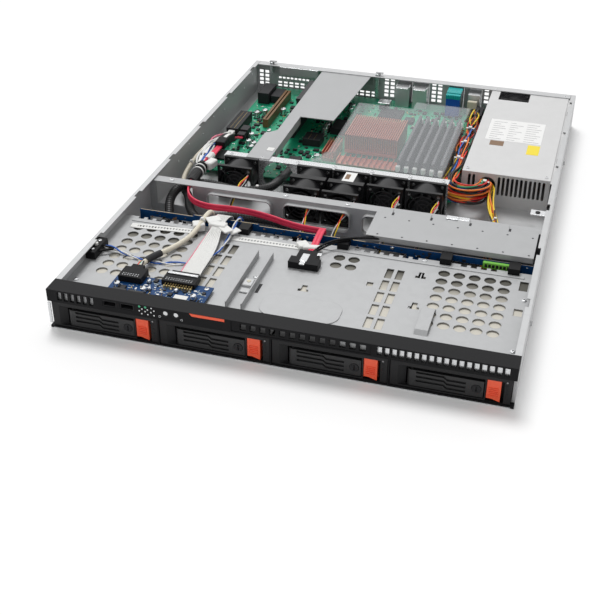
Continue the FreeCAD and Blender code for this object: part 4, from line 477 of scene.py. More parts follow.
def spline_line(route, step):
    """Evenly spaced points along a route's spline, about step millimetres apart."""
    item = bpy.data.objects.new("line", spline_curve("line", route))
    bpy.context.scene.collection.objects.link(item)
    bpy.context.view_layer.update()
    mesh = bpy.data.meshes.new_from_object(item)
    raw = [v.co.copy() for v in mesh.vertices]
    bpy.data.objects.remove(item)
    bpy.data.meshes.remove(mesh)
    lengths = [0]
    for before, after in zip(raw, raw[1:]):
        lengths.append(lengths[-1] + (after - before).length)
    count = max(2, round(lengths[-1] * 1000 / step))
    line, place = [], 0
    for index in range(count + 1):
        goal = lengths[-1] * index / count
        while place < len(raw) - 2 and lengths[place + 1] < goal:
            place += 1
        share = (goal - lengths[place]) / max(1e-9, lengths[place + 1] - lengths[place])
        line.append(raw[place].lerp(raw[place + 1], min(1, share)))
    return line


def line_length(line):
    """The length of a line of points, in metres."""
    return sum((b - a).length for a, b in zip(line, line[1:]))


def stretch(route, near, far):
    """The points of a route's spline between two depths."""
    return [spot for spot in spline_line(route, 1) if near <= spot.y * 1000 - BEZEL_FACE <= far]


def wander(waves, index, start):
    """Slow waves along a wire, out of step with its neighbours'."""
    return sum(size * math.sin(index * pace + start * shift) for size, pace, shift in waves)


def strand(line, radius, start, twist, sway=0, stray=0):
    """A line that winds and sways round another one, drawn in to its middle at both ends."""
    side, points = None, []
    for index, spot in enumerate(line):
        along = (line[min(index + 1, len(line) - 1)] - line[max(index - 1, 0)]).normalized()
        guess = side if side is not None else UPRIGHT.cross(along)
        side = (guess - along * guess.dot(along)).normalized()
        rise = along.cross(side)
        angle = start + twist * index
        near_end = min(1, ENDS_DRAWN_IN + min(index, len(line) - 1 - index) / END_POINTS)
        reach = radius * near_end * (1 + sway * wander(SWAY_WAVE, index, start)) / 1000
        loose = stray * near_end / 1000
        aside = loose * wander(ASIDE_WAVES, index, start)
        above = loose * wander(ABOVE_WAVES, index, start)
        around = (side * math.cos(angle) + rise * math.sin(angle)) * reach
        points.append(spot + around + side * aside + rise * above)
    return points


def wind(kit, line, looks, ring, twist, radius=WIRE_RADIUS, sides=WIRE_SIDES, first=0, **loose):
    """Wires that lie side by side on a ring round a line."""
    for index, look in enumerate(looks, start=first):
        path = strand(line, ring, 2 * math.pi * index / len(looks), twist, **loose)
        kit.sweep(look, path, circle(radius, sides))


def jackets(colours):
    """The surfaces of wires whose colours are named in a row."""
    return [JACKETS[colour] for colour in colours.split()]


def ribbed(radius):
    """A sleeve's section that swells and narrows along its line."""
    return lambda index: circle(radius if index % 3 else radius * GROOVE, 14)


def declare(piece, node=None):
    """Hide the node that a piece stands for, if one is named."""
    if node:
        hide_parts(node)


def build_port_cable():
    """The front port's cable, a plain round cord on its route's spline."""
    curve = spline_curve("usb_cable_jacket", USB_ROUTE)
    curve.bevel_depth = USB_RADIUS / 1000
    curve.bevel_resolution = 4
    curve.use_fill_caps = True
    curve.materials.append(JACKETS["beige"])
    cable = bpy.data.objects.new("usb_cable_jacket", curve)
    bpy.context.scene.collection.objects.link(cable)
    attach(cable, "chassis")
    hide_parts("usb_cable")
    line_length(spline_line(USB_ROUTE, 2))


def wound_cord(name, slot, route, step, looks, ring, twist, width, node=None, **wires):
    """Wires wound round a route's spline, as one limp cord."""
    kit = Kit(name, slot=slot)
    line = spline_line(route, step)
    wind(kit, line, looks, ring, twist, **wires)
    declare(kit.done(True), node)


def sleeved_cord(name, route, radius, node=None):
    """A cord in a ribbed sleeve."""
    kit = Kit(name, slot="black_jacket")
    line = spline_line(route, 1)
    kit.sweep(SLEEVE, line, ribbed(radius))
    declare(kit.done(), node=node)


def build_long_cords():
    """The intrusion switch's twisted pair and the drives' loom."""
    wound_cord("switch_wire_pair", "blue_jacket", SWITCH_ROUTE, 1.2, jackets("blue white"), 0.85, 0.2,
               PAIR_WIDTH, "switch_wires", radius=0.8, sides=8, stray=0.5)
    sleeved_cord("drive_loom_sleeve", LOOM_ROUTE, LOOM_RADIUS, "drive_loom")


def build_supply_bundles():
    """The power supply's bundles to the main board, each wire on its own winding line."""
    last = len(MAIN_BUNDLE) - 1
    for number, (colours, drop, end_drop, aside) in enumerate(BUNDLES, start=1):
        bundle = Kit(f"supply_bundle_{number}", slot="wire_jacket")
        route = []
        for index, (x, y, z) in enumerate(MAIN_BUNDLE):
            share = index / last
            swell = math.sin(math.pi * share) ** 2
            route.append((x + aside * swell, y, z + BUNDLE_LIFT * swell - drop - (end_drop - drop) * share))
        line = spline_line(route, 3)
        looks = jackets(colours)
        wind(bundle, line, looks[:INNER_WIRES], INNER_RING, 0.03, sway=0.2, stray=2.4)
        wind(bundle, line, looks[INNER_WIRES:], OUTER_RING, 0.03, first=INNER_WIRES, sway=0.2, stray=2.4)
        declare(bundle.done(True), "wiring_harness")


def build_short_wires():
    """The supply's bundle across the floor, the loop at the long bundles' rear end, and the fans' leads."""
    wound_cord("supply_floor_bundle", "wire_jacket", FLOOR_BUNDLE, 3, jackets(FLOOR_WIRES), 2.3, 0.05,
               FLOOR_WIDTH, "wiring_harness", sway=0.2, stray=1.4)
    wound_cord("supply_rear_loop", "wire_jacket", REAR_LOOP, 2, jackets(LOOP_WIRES), 3.2, 0.03,
               FLOOR_WIDTH, "wiring_harness", stray=1.5)
    for number, (x, front, socket) in enumerate(LEADS, start=1):
        route = [(x + (socket - x) * side, front + (LEAD_END - front) * way, z)
                 for way, side, z in LEAD_SHAPE]
        wound_cord(f"fan_lead_{number}", "wire_jacket", route, 2, jackets(LEAD_WIRES), 1, 0.12,
                   LEAD_WIDTH, "wiring_harness", radius=0.66, sides=6, stray=1.2)


def build_ribbon():
    """The ribbon's cores side by side, drawn together by its tie, the first one marked."""
    ribbon = Kit("ribbon_strip", slot="white_jacket")
    centre, start = RIBBON_LEFT + RIBBON_WIDTH / 2, RIBBON_PROFILE[0][0]
    line = spline_line([(centre + RIBBON_SLOPE * (y - start), y, z) for y, z in RIBBON_PROFILE], 2)
    pitch = RIBBON_WIDTH / RIBBON_CORES

    def core_section(core):
        """One core's section along the strip."""
        place = -RIBBON_WIDTH / 2 + pitch * (core + 0.5)

        def section(index):
            """The section at one point of the line."""
            depth = line[index].y * 1000 - BEZEL_FACE
            pinch = TIE_PINCH * math.exp(-((depth - RIBBON_TIE) / TIE_REACH) ** 2)
            lift = pinch * TIE_LIFT * (core % 2)
            return [(place * (1 - pinch) + u * pitch / 2 * CORE_OVERLAP, v * CORE_HALF + lift)
                    for u, v in CORE_OUTLINE]

        return section

    for core in range(RIBBON_CORES):
        ribbon.sweep(JACKETS["white" if core else "pink"], line, core_section(core), ACROSS)
    declare(ribbon.done(), "ribbon_cable")


def build_data_cable():
    """The drives' flat data cable: the long run on edge, and its two ends lying flat."""
    run = Kit("data_cable_run", slot="red_jacket")
    line = spline_line(DATA_RUN, 2.5)

    def twisted(index):
        """The flat section, turned from on edge to lying as the cable comes out of its sleeve."""
        depth = line[index].y * 1000 - BEZEL_FACE
        share = min(1, max(0, (depth - DATA_TWIST[0]) / (DATA_TWIST[1] - DATA_TWIST[0])))
        angle = share * share * (3 - 2 * share) * math.pi / 2
        return [(u * math.cos(angle) - v * math.sin(angle), u * math.sin(angle) + v * math.cos(angle))
                for u, v in FLAT_SECTION]

    run.sweep(JACKETS["crimson"], line, twisted, UPRIGHT)
    declare(run.done(), node="sata_cable")
    for name, route in (("data_cable_drop", DATA_DROP), ("data_cable_tail", DATA_TAIL)):
        end = Kit(name, slot="red_jacket")
        line = spline_line(route, 2.5)
        end.sweep(JACKETS["crimson"], line, FLAT_SECTION, ACROSS)
        declare(end.done(), node="sata_cable")


DATA_SLEEVE, USB_SLEEVE, USB_SLEEVE_RIGHT, WHITE_WRAP = (251, 296), (203, 284), -131, (309, 324)
COLLARS = [(277, WHITE, 6.5), (281, BLACK, 6.4), (285, WHITE, 6.5), (290, BLACK, 6.4)]
CORNER_BLOCKS = [
    (BLACK, -45, -31, 213, 227, 0.9, 10.5, 0.8), (WHITE, -171, -161.5, 292, 307, 31.6, 40.4, 1.2, -14),
    (BLACK, -179.4, -167.6, 348, 362, 31.4, 40.8, 0.8)]
CORNER_WRAPS = [
    (BLACK, DATA_TAIL, 361, 386, [(-5.6, -4.4), (5.6, -4.4), (5.6, 4.4), (-5.6, 4.4)]),
    (WHITE, DATA_TAIL, 362, 380, [(-0.6, 4.2), (3.4, 4.2), (3.4, 4.9), (-0.6, 4.9)]),
    (WHITE, CORNER_ROUTE, 322, 350, [(-4.6, 2.6), (3.6, 3.4), (3.6, 4), (-4.6, 3.2)]),
    (WHITE, CORNER_ROUTE, 298, 316, [(-3.6, -3.4), (3.4, -3.4), (3.4, 3.4), (-3.6, 3.4)])]


def build_corner_cables():
    """Sleeves, collars, plugs and wraps on the left corner's cables, the low sleeve, and the small wires."""
    sleeved_cord("low_sleeve", LOW_ROUTE, SLEEVE_RADIUS)
    wound_cord("corner_wires", "white_jacket", CORNER_ROUTE, 2, jackets(CORNER_WIRES), 3.8, 0.05,
               CORNER_WIDTH, radius=1.15, sides=8, sway=0.25, stray=1.2)
    corner = Kit("corner_cable_fittings", slot="black_jacket")
    corner.sweep(SLEEVE, stretch(DATA_RUN, *DATA_SLEEVE), ribbed(DATA_SLEEVE_RADIUS))
    beside = [spot for spot in stretch(USB_ROUTE, *USB_SLEEVE) if spot.x * 1000 < USB_SLEEVE_RIGHT]
    corner.sweep(SLEEVE, beside, ribbed(SLEEVE_RADIUS))
    for depth, look, radius in COLLARS:
        place = Matrix.Translation(stretch(DATA_RUN, depth, depth + 1.5)[0]) @ AXIS_TURN["Y"]
        corner.ring(look, place, radius, 0.5, 1.1, sides=24)
    corner.blocks(CORNER_BLOCKS)
    corner.sweep(WHITE, stretch(DATA_RUN, *WHITE_WRAP), circle(4.3, 10), UPRIGHT)
    for look, route, near, far, section in CORNER_WRAPS:
        corner.sweep(look, stretch(route, near, far), section, ACROSS)
    corner.done()


build_port_cable()
build_long_cords()
build_supply_bundles()
build_short_wires()
build_ribbon()
build_data_cable()
build_corner_cables()


# Front: bezel marks, vent backing and carrier lamps

LAMP_ROW, LIT_LAMPS = 40.2, 2
DOT_ROWS = [
    (LAMP_ROW, (-122.7, -117, -111.2)), (37.8, (-120.3, -115, -108.8)), (35.6, (-123, -117.4, -111.8)),
    (32.8, (-120.8, -115, -109))]
BUTTONS, PIN_RINGS, PIN_Z = ("power_button", "locator_button"), (-103.5, -82.5), 33.0
BRIGHT_STRIPS = [(SHINY, -215, -212.4, -0.3, 0.6, 5.5, 28), (SHINY, -212, 212, -0.3, 0.2, 0.15, 0.85)]
ACCENT = [(-75, 41.7), (-72.6, 38.9), (-42, 38.9), (-42, 41.7)]
VENT_LOW, VENT_HIGH = 31, 40.35
VENT_BACKS = [
    (SHINY, 94.6, 211, 2.55, 3.15), (GREY_STEEL, 61, 87, 3.2, 3.8), (GREY_STEEL, -206, -167, 2.55, 3.15)]
CARRIER_LAMPS = [(25.2, JACKETS["grey"], 0.8), (21, DARK, 0.8), (16.8, DARK, 0.8), (12.4, DARK, 0.6)]
LAMP_ASIDE = 47.8


def build_front():
    """Lamps, rings and bright strips on the bezel, sheets behind its vents, and the carriers' lamps."""
    face = Kit("bezel_marks", slot="silver_plastic")
    for z, row in DOT_ROWS:
        for index, x in enumerate(row):
            lit = z == LAMP_ROW and index < LIT_LAMPS
            face.rod(LAMP if lit else SILVER, "Y", x, -0.12, z, 1.15 if lit else 0.72, 0.3, sides=12)
    for name in BUTTONS:
        face.ring(SATIN_BLACK, facing("Y", middle(name, X), 0.1, middle(name, Z)), 2.95, 0.45)
    for x in PIN_RINGS:
        face.ring(SILVER, facing("Y", x, 0, PIN_Z), 1, 0.16, sides=20, section=6)
    face.blocks(BRIGHT_STRIPS)
    face.sweep(ORANGE, [at(0, -0.15, 0), at(0, 0.3, 0)], ACCENT, ACROSS)
    face.done()
    backing = Kit("vent_backing", slot="galvanised_steel")
    backing.blocks([(*row, VENT_LOW, VENT_HIGH) for row in VENT_BACKS])
    backing.done()
    for number, x in enumerate(BAY_MIDDLES, start=1):
        lamps = Kit(f"carrier_lamps_{number}", f"carrier_{number}", "silver_plastic")
        for z, look, radius in CARRIER_LAMPS:
            place = facing("Y", x + LAMP_ASIDE, 0.95, z)
            lamps.rod(look, "Y", x + LAMP_ASIDE, 0.85, z, radius, 0.4, sides=12)
            lamps.ring(SATIN_BLACK, place, radius + 0.35, 0.2, sides=16, section=6)
        lamps.done()


build_front()


# Plate, boards and backplane

CHIP_SIZES = ((1.6, 0.9), (2, 1.2), (3.2, 1.6), (4, 3), (5, 4), (7, 5))
CHIP_LOOKS = (DARK, DARK, DARK, IVORY, SILVER, SILVER, GOLD, BROWN, WHITE)
CHIP_GRID, CHIP_GAP, SMALL_CHIP = 1.5, 0.6, 3.5


def blocked(x, y, long, short, avoid, gap=0):
    """Whether a block meets one of those named, or comes nearer than a gap."""
    return any(x < b[1] + gap and x + long > b[0] - gap and y < b[3] + gap and y + short > b[2] - gap
               for b in avoid)


def scatter(kit, level, avoid, area, count, seed):
    """Small chips, resistors and pads strewn over a board in rows, clear of the blocks named."""
    dice = random.Random(seed)
    x0, x1, y0, y1 = area
    for _ in range(count):
        long, short = dice.choice(CHIP_SIZES)
        if dice.random() < 0.5:
            long, short = short, long
        x = round(dice.uniform(x0, x1 - long) / CHIP_GRID) * CHIP_GRID
        y = round(dice.uniform(y0, y1 - short) / CHIP_GRID) * CHIP_GRID
        if blocked(x, y, long, short, avoid, CHIP_GAP):
            continue
        avoid.append((x, x + long, y, y + short))
        look = DARK if max(long, short) > SMALL_CHIP else dice.choice(CHIP_LOOKS)
        kit.box(look, x, x + long, y, y + short, level - 0.1, level + 0.4 + min(long, short) * 0.3, 0.12)


def silk(kit, level, avoid, area, count, seed):
    """Short pale strokes printed on a board, clear of the blocks named."""
    dice = random.Random(seed)
    x0, x1, y0, y1 = area
    for _ in range(count):
        long, short = dice.choice((1.2, 2, 3.2, 4.6)), dice.choice((0.35, 0.5, 0.8))
        if dice.random() < 0.5:
            long, short = short, long
        x, y = dice.uniform(x0, x1 - long), dice.uniform(y0, y1 - short)
        if not blocked(x, y, long, short, avoid):
            kit.box(SILK, x, x + long, y, y + short, level - 0.1, level + 0.05)


def can(kit, x, y, level, radius, height):
    """An upright capacitor: a metal can on a dark base, marked on one side."""
    top, half = level + height, radius / 2
    kit.box(DARK, x - radius, x + radius, y - radius, y + radius, level - 0.1, level + 1, 0.3)
    kit.rod(SILVER, "Z", x, y, level + 1, radius * 0.94, height - 1.5)
    kit.rod(SILVER, "Z", x, y, top - 0.5, radius * 0.94, 0.5, tip=radius * 0.8)
    kit.box(DARK, x - radius * 0.7, x - radius * 0.2, y - half, y + half, top - 0.1, top + 0.06)


def ladder(kit, start, end, wide, z):
    """A perforated strap from one point to another, lying flat: two rails and the rungs between them."""
    way = Vector(end) - Vector(start)
    length, turn = way.length, math.degrees(math.atan2(way.y, way.x))
    along = way / length
    across = Vector((-along.y, along.x))

    def lay(ahead, aside, long, broad, low, high):
        """One small block of the strap, so far along it and aside from its middle."""
        x, y = Vector(start) + along * ahead + across * aside
        kit.box(WHITE, x - long / 2, x + long / 2, y - broad / 2, y + broad / 2, low, high, 0.15, turn)

    for aside in (-wide / 3, wide / 3):
        lay(length / 2, aside, length, wide / 3, z, z + 0.8)
    count = int(length / 3.2)
    for index in range(count):
        lay(length * (index + 0.5) / count, 0, 1.5, wide / 2.5, z + 0.05, z + 0.75)
    lay(0, 0, 7, wide * 0.9, z, z + 1)


PLATE_SCREWS = [(104.5, 168.6), (-43.5, 92), (-206, 40), (206, 40), (206, 124)]
SWITCH_SCREWS, SWITCH_TOP = [(-209, 84), (-209, 101)], edges("intrusion_switch", Z)[1]
CLAMP = [
    (STEEL, -50.5, -40.5, 70, 82, PLATE_TOP - 0.1, PLATE_TOP + 4.4, 0.8),
    (STEEL, -50.5, -40.5, 62, 71, PLATE_TOP - 0.1, PLATE_TOP + 1.6, 0.6),
    # A thin dark strip beside the clamp: painted shade of the slot next to it.
    (DARK, -36.5, -33.5, 66, 82, PLATE_TOP - 0.1, PLATE_TOP + 0.12)]
STRAPS = [((-195, 152), (-128, 158)), ((-86, 156), (-14, 158))]
STRAP_WIDTH = 9.0
STRAP_KNOTS = [
    (WHITE, -116.5, -98.5, 158.5, 167.5, 36.4, 41.4, 0.8, -4),
    (WHITE, -122, -108, 164, 176, 40, 41.6, 0.5, 38), (WHITE, -104, -90, 152, 162, 38.4, 40, 0.5, -40),
    (WHITE, -134, -122, 156, 167, 31.5, 39.6, 0.8, 28), (WHITE, -95, -85, 155, 167, 35.5, 37, 0.5, -32),
    (WHITE, -14.5, 4.5, 150.5, 157.5, 32, 36.6, 1, 8), (WHITE, -22, -11, 153, 164, 31.5, 35.5, 0.8, 38)]
PLUG_METAL = [
    (SILVER, -120.5, -90.5, 61, 64.2, 39.1, 40.8, 0.4), (SILVER, -9.5, -2.5, 122, 136, 37.1, 37.9, 0.25),
    (SILVER, -8.6, -3.4, 116.6, 122.5, 36, 37.4, 0.25), (SILVER, 4, 8.4, 136, 141, 37.1, 37.8, 0.2)]
PIN_FIRST, PIN_PITCH, PIN_COUNT, PIN_ROWS, PIN_HEIGHT = -118, 2.6, 11, (43.4, 46.4), 3.2
PORT_WIRES, PORT_FIRST, PORT_PITCH = "red green white black", -154.4, 1.6
USB_BOOT, BOOT_RADIUS, PORT_WIRE_RADIUS, SWITCH_LEAD_RADIUS = (79, 101), 3.4, 0.85, 1.3
PORT_JOIN, PORT_DRAW = (-152, 80.5, 37.6), 0.4
SWITCH_LEADS, SWITCH_JOIN = (88, 98), 98
SWITCH_LEAD_SHAPE = ((-204.4, 0, 34.5), (-199, 0.4, 34.4), (-193, 0.8, 34.2))


def build_plate():
    """Screws and the clamp on the bay plate, and the perforated straps and ties that lie on it."""
    plate = Kit("plate_fittings", slot="galvanised_steel")
    for x, y in PLATE_SCREWS:
        plate.screw(x, y, PLATE_TOP)
    plate.blocks(CLAMP)
    plate.rod(IVORY, "Z", -45.5, 77, PLATE_TOP + 4.3, 2, 0.5)
    for x, y in SWITCH_SCREWS:
        plate.screw(x, y, SWITCH_TOP, 2)
    plate.done()
    straps = Kit("plate_straps", slot="white_plastic")
    for start, end in STRAPS:
        ladder(straps, start, end, STRAP_WIDTH, PLATE_TOP - 0.05)
    straps.blocks(STRAP_KNOTS)
    straps.done()


def build_plugs():
    """Pins, clips, boots and short wires on the plugs, and the drive plug's black pair."""
    wound_cord("drive_plug_pair", "black_jacket", PLUG_PAIR_ROUTE, 2, (BLACK, BLACK), 1.2, 0.1,
               PLUG_PAIR_WIDTH, radius=1.1, sides=8)
    plugs = Kit("plug_fittings", slot="black_plastic")
    plugs.blocks(PLUG_METAL)
    pin_top = PANEL_TOP + PIN_HEIGHT
    for index in range(PIN_COUNT):
        x = PIN_FIRST + index * PIN_PITCH
        for y in PIN_ROWS:
            plugs.box(GOLD, x, x + 1.1, y, y + 1.1, PANEL_TOP - 0.1, pin_top)
        plugs.box(GOLD, x + 0.2, x + 0.9, PIN_ROWS[1], PIN_ROWS[1] + 2.8, pin_top - 0.7, pin_top)
    plugs.sweep(DARK, stretch(USB_ROUTE, *USB_BOOT), circle(BOOT_RADIUS, 14))
    for index, look in enumerate(jackets(PORT_WIRES)):
        x = PORT_FIRST + index * PORT_PITCH
        drawn = x + (PORT_JOIN[0] - x) * PORT_DRAW
        plugs.sweep(look, [at(x, 66.5, 38.4), at(drawn, 73, 39.6), at(*PORT_JOIN)], circle(PORT_WIRE_RADIUS, 7))
    for y in SWITCH_LEADS:
        line = [at(x, y + (SWITCH_JOIN - y) * share, z) for x, share, z in SWITCH_LEAD_SHAPE]
        plugs.sweep(BLACK, line, circle(SWITCH_LEAD_RADIUS, 9))
    plugs.done()


FRONT_KEEP_OUT = [
    (-164, -139, 42, 57), (-123, -88, 48, 57), (-160, -127, 17, 25), (-102, -84, 17, 20),
    (-166, -160, 20, 27), (-82, -75, 19, 26), (-82, -75, 49, 56), (-104, -89, 29, 37)]
FRONT_CANS = [
    (-134, 48, 2, 3.6, 2.5), (-129, 36, 2, 3.6, 2.5), (-104, 40, 2, 3.6, 2.5), (-160, 34, 2.9, 5, 3.2),
    (-133, 32, 2.9, 5, 3.2), (-84, 33, 2.9, 5, 3.2)]
FRONT_SCREWS = [(-163, 23.5), (-78.5, 22.5), (-78.5, 52.5)]
FRONT_SOCKETS = [(-163, -140, 43, 6.5), (-122, -89, 49, 5)]
FRONT_LABEL = (WHITE, -103, -90, 30, 36, PANEL_TOP - 0.1, PANEL_TOP + 0.3)
FRONT_STROKES, FRONT_CHIPS = ((-166, -75, 27, 56), 160, 3), ((-167, -74, 26, 56), 260, 5)
CONTACT_PITCH, CONTACT_ROWS = 2.5, (2.4, 5)


def build_front_board():
    """Capacitors, chips, strokes and screws on the front panel's board, and contacts on its two plugs."""
    board = Kit("front_board_parts", slot="blue_board")
    avoid = list(FRONT_KEEP_OUT)
    board.box(*FRONT_LABEL)
    for x, y, radius, height, clear in FRONT_CANS:
        avoid.append((x - clear, x + clear, y - clear, y + clear))
        can(board, x, y, PANEL_TOP, radius, height)
    silk(board, PANEL_TOP, avoid, *FRONT_STROKES)
    for x, y in FRONT_SCREWS:
        board.screw(x, y, PANEL_TOP, 2.4)
    scatter(board, PANEL_TOP, avoid, *FRONT_CHIPS)
    for x0, x1, y0, height in FRONT_SOCKETS:
        top = PANEL_TOP + height
        for index in range(int((x1 - x0 - 4) / CONTACT_PITCH)):
            x = x0 + 3 + index * CONTACT_PITCH
            for row in CONTACT_ROWS:
                board.box(SILVER, x, x + 0.9, y0 + row, y0 + row + 0.9, top - 0.1, top + 0.25)
    board.done()


BACKPLANE_EDGES = [(-200, -142, 34.5), (-140, -71, 36.4), (-69, 208, 34.5)]
GREEN_BLOCK = (LIGHT_GREEN, 160, 188, 176.4, 180.05, 27, 33.6, 0.4)
GREEN_HOLES, HOLE_FIRST, HOLE_PITCH = 7, 162, 3.6
BACKPLANE_CLIPS = (-82, 22, 125, 191)
BACKPLANE_SIZES = ((1, 0.7), (1.6, 1), (2.2, 1.2), (3.4, 2.2))
BACKPLANE_LOOKS = (DARK, DARK, DARK, SILVER, BROWN)
BACKPLANE_SEED, BACKPLANE_TRIES, CLIP_CLEARANCE = 23, 110, 10
BACKPLANE_SPAN, GREEN_SPAN, PART_LOW, PART_HIGH = (-198, 204), (156, 190), 25, 33.6
EDGE_DEPTHS, PART_DEPTHS, HOLE_FACE = (180.5, 181), (179.2, 180.1), (176.25, 176.6, 28.6, 32)


def build_backplane():
    """The backplane's gold edge, its green connector and the parts on its front face."""
    parts = Kit("backplane_parts", slot="blue_board")
    for x0, x1, top in BACKPLANE_EDGES:
        parts.box(GOLD, x0, x1, *EDGE_DEPTHS, top - 0.05, top + 0.1)
    parts.box(*GREEN_BLOCK)
    # Dark patches on the green connector's face: painted shade in its holes.
    for index in range(GREEN_HOLES):
        x = HOLE_FIRST + index * HOLE_PITCH
        parts.box(DARK, x, x + 2.4, *HOLE_FACE)
    dice = random.Random(BACKPLANE_SEED)
    for _ in range(BACKPLANE_TRIES):
        x = dice.uniform(*BACKPLANE_SPAN)
        near_clip = any(abs(x - clip) < CLIP_CLEARANCE for clip in BACKPLANE_CLIPS)
        if near_clip or GREEN_SPAN[0] < x < GREEN_SPAN[1]:
            continue
        wide, tall = dice.choice(BACKPLANE_SIZES)
        z = dice.uniform(PART_LOW, PART_HIGH - tall)
        look = dice.choice(BACKPLANE_LOOKS)
        parts.box(look, x, x + wide, *PART_DEPTHS, z, z + tall, 0.1)
    parts.done()


build_plate()
build_plugs()
build_front_board()
build_backplane()


# Fan row and rail

RAIL_TOP, COVER_TOP = edges("fan_wall", Z)[1], edges("channel_cover", Z)[1]
FAN_SCREW_DEPTH, WALL_SCREW_DEPTH, SLOT_DEPTHS = 324, 242, (231, 237)
COVER_SCREW, CORNER_SCREW = (124, 243.5, 41.4, 2.2), (200.7, 291, 35, 2.6, DARK)
GRILLE_RINGS, GRILLE_REACH = (6, 10.5, 15), 20.5
FAN_SCREWS, WALL_SCREWS = (-150, -113, -71, -28, 15, 58, 95), (-190, -60, 8, 120)
COVER_HOLES, COVER_ROWS, COVER_SLOTS = range(52, 204, 25), (188.5, 224), (57, 97, 137, 177)
RAIL_BLOCKS = [
    (SHINY, 112, 136, 240, 247, 39.95, 41.4, 0.5), (LABEL, -12, 1, 292, 314, 40.95, 41.12),
    (BROWN, -10, -5, 297, 309, 41.1, 41.18), (SHINY, 193, 213.6, 286, 297, 33.6, 35, 0.4),
    # Two thin dark patches on the right wall: painted shade standing for notches.
    (DARK, 213.3, 213.6, 318, 325, 33, 36.5), (DARK, 213.3, 213.6, 470, 477, 33, 36.5)]
WALL_RIVETS = [
    (262, 30), (318, 24), (352, 31), (398, 24), (436, 31), (474, 25), (512, 31), (552, 24), (586, 31)]
WALL_FACE, POST_X, POST_DEPTH, POST_FOOT, POST_HEIGHT = -213.7, 20, 252, 1, 22


def build_fans():
    """Wire grilles on the fans, fittings of the rails and side walls, and the fan wall's post."""
    guards = Kit("fan_guards", slot="black_plastic")
    fronts = {}
    for name in reversed(FAN_ROTORS):
        fronts[middle(name, X)] = edges(name, Y)[0] - BEZEL_FACE - ROTOR_SETBACK
    for x, front in fronts.items():
        for radius in GRILLE_RINGS:
            guards.ring(DARK, facing("Y", x, front - 0.7, FAN_Z), radius, 0.5, sides=32, section=6)
        for turn in (math.radians(45), math.radians(135)):
            reach = Vector((math.cos(turn), 0, math.sin(turn))) * GRILLE_REACH / 1000
            hub = at(x, front - 0.3, FAN_Z)
            guards.sweep(DARK, [hub - reach, hub, hub + reach], circle(0.5, 6))
    guards.done(True)
    rail = Kit("rail_fittings", slot="galvanised_steel")
    for x in FAN_SCREWS:
        rail.screw(x, FAN_SCREW_DEPTH, RAIL_TOP, 2.3)
    for x in WALL_SCREWS:
        rail.screw(x, WALL_SCREW_DEPTH, RAIL_TOP, 2.7)
    # Thin dark discs and strips on the channel cover: painted shade standing for its holes and slots.
    for x in COVER_HOLES:
        for y in COVER_ROWS:
            rail.rod(DARK, "Z", x, y, COVER_TOP - 0.1, 1.1, 0.15, sides=12)
    for x in COVER_SLOTS:
        rail.box(DARK, x, x + 2.4, *SLOT_DEPTHS, COVER_TOP - 0.1, COVER_TOP + 0.05)
    rail.blocks(RAIL_BLOCKS)
    for screw in (COVER_SCREW, CORNER_SCREW):
        rail.screw(*screw)
    for y, z in WALL_RIVETS:
        rail.rod(SHINY, "X", WALL_FACE, y, z, 1.3, 0.7, tip=0.8)
    rail.done()
    post = Kit("window_post", slot="galvanised_steel")
    post.rod(SHINY, "Z", POST_X, POST_DEPTH, POST_FOOT, 2.6, POST_HEIGHT)
    post.rod(SHINY, "Z", POST_X, POST_DEPTH, POST_FOOT + POST_HEIGHT, 3.4, 2, tip=2.4)
    post.done(True)


build_fans()


# Main board, memory, ports and power supply

CANS = [
    (-152, 398, 3.6, 9), (-152, 408, 3.6, 9), (-68, 392, 4, 11), (-80, 470, 4, 11), (-80, 482, 4, 11),
    (-80, 494, 4, 11), (-146, 440, 3.2, 8), (-146, 450, 3.2, 8), (-178, 498, 3.8, 9), (-170, 507, 3.8, 9),
    (-64, 540, 4, 11), (-64, 552, 4, 11), (-148, 517, 3.8, 9), (-163, 432, 3.6, 9), (-160, 412, 3.6, 9),
    (-40, 500, 3.4, 9), (-32, 500, 3.4, 9), (-24, 500, 3.4, 9)]
HEADERS = [(-196, 15, 432, 56, 12), (-98, 22, 434, 22, 9)]
HEADER_PITCH, HEADER_COLUMNS = 3.2, (0.3, 0.62)
BOARD_KEEP_OUT = [
    (-197, -180, 430, 490), (-193, -176, 542, 582), (-177, -162, 548, 580), (-147, -125, 396, 420),
    (-191, -165, 364, 392), (-99, -75, 432, 458), (-75, -55, 474, 508), (-29, 3, 538, 572), (7, 21, 532, 550),
    (-153, -141, 366, 380), (-135, -123, 366, 380), (-97, -81, 362, 380), (87, 104, 554, 586),
    (-179, -167, 430, 448), (-163, -153, 468, 574), (-129, -107, 420, 592), (-42, 23, 420, 486),
    (-46, 29, 392, 418), (-65, -48, 398, 444), (31, 90, 364, 512), (-50, -46, 338, 520), (88, 93, 338, 542),
    (-18, 28, 584, 606), (50, 98, 584, 606)]
BOARD_STROKES = ((-195, -50, 350, 582), 420, 13)
BOARD_CHIPS = [((-195, -50, 344, 582), 1300, 7), ((-46, 102, 520, 582), 420, 9)]
MEMORY_FIRST, MEMORY_PITCH, MEMORY_COUNT, MEMORY_CLIPS = 35, 9.8, 6, (366, 504.6)
MEMORY_CLIP, MEMORY_EDGE = (22.5, 30, 0.8), (374, 503, 33.1, 33.5, 0.1)
BOARD_BLOCKS = [
    (WHITE, -192.6, -184.4, 420, 432.05, 10.8, 18.4, 0.6),
    (DARK, -178.4, -168.6, 420, 429.95, 12.8, 19.2, 0.6), (WHITE, -114, -106, 341, 350, 40.95, 41.5, 0.3),
    (GOLD, -118.4, -117.6, 440, 586, 39.9, 40.02)]


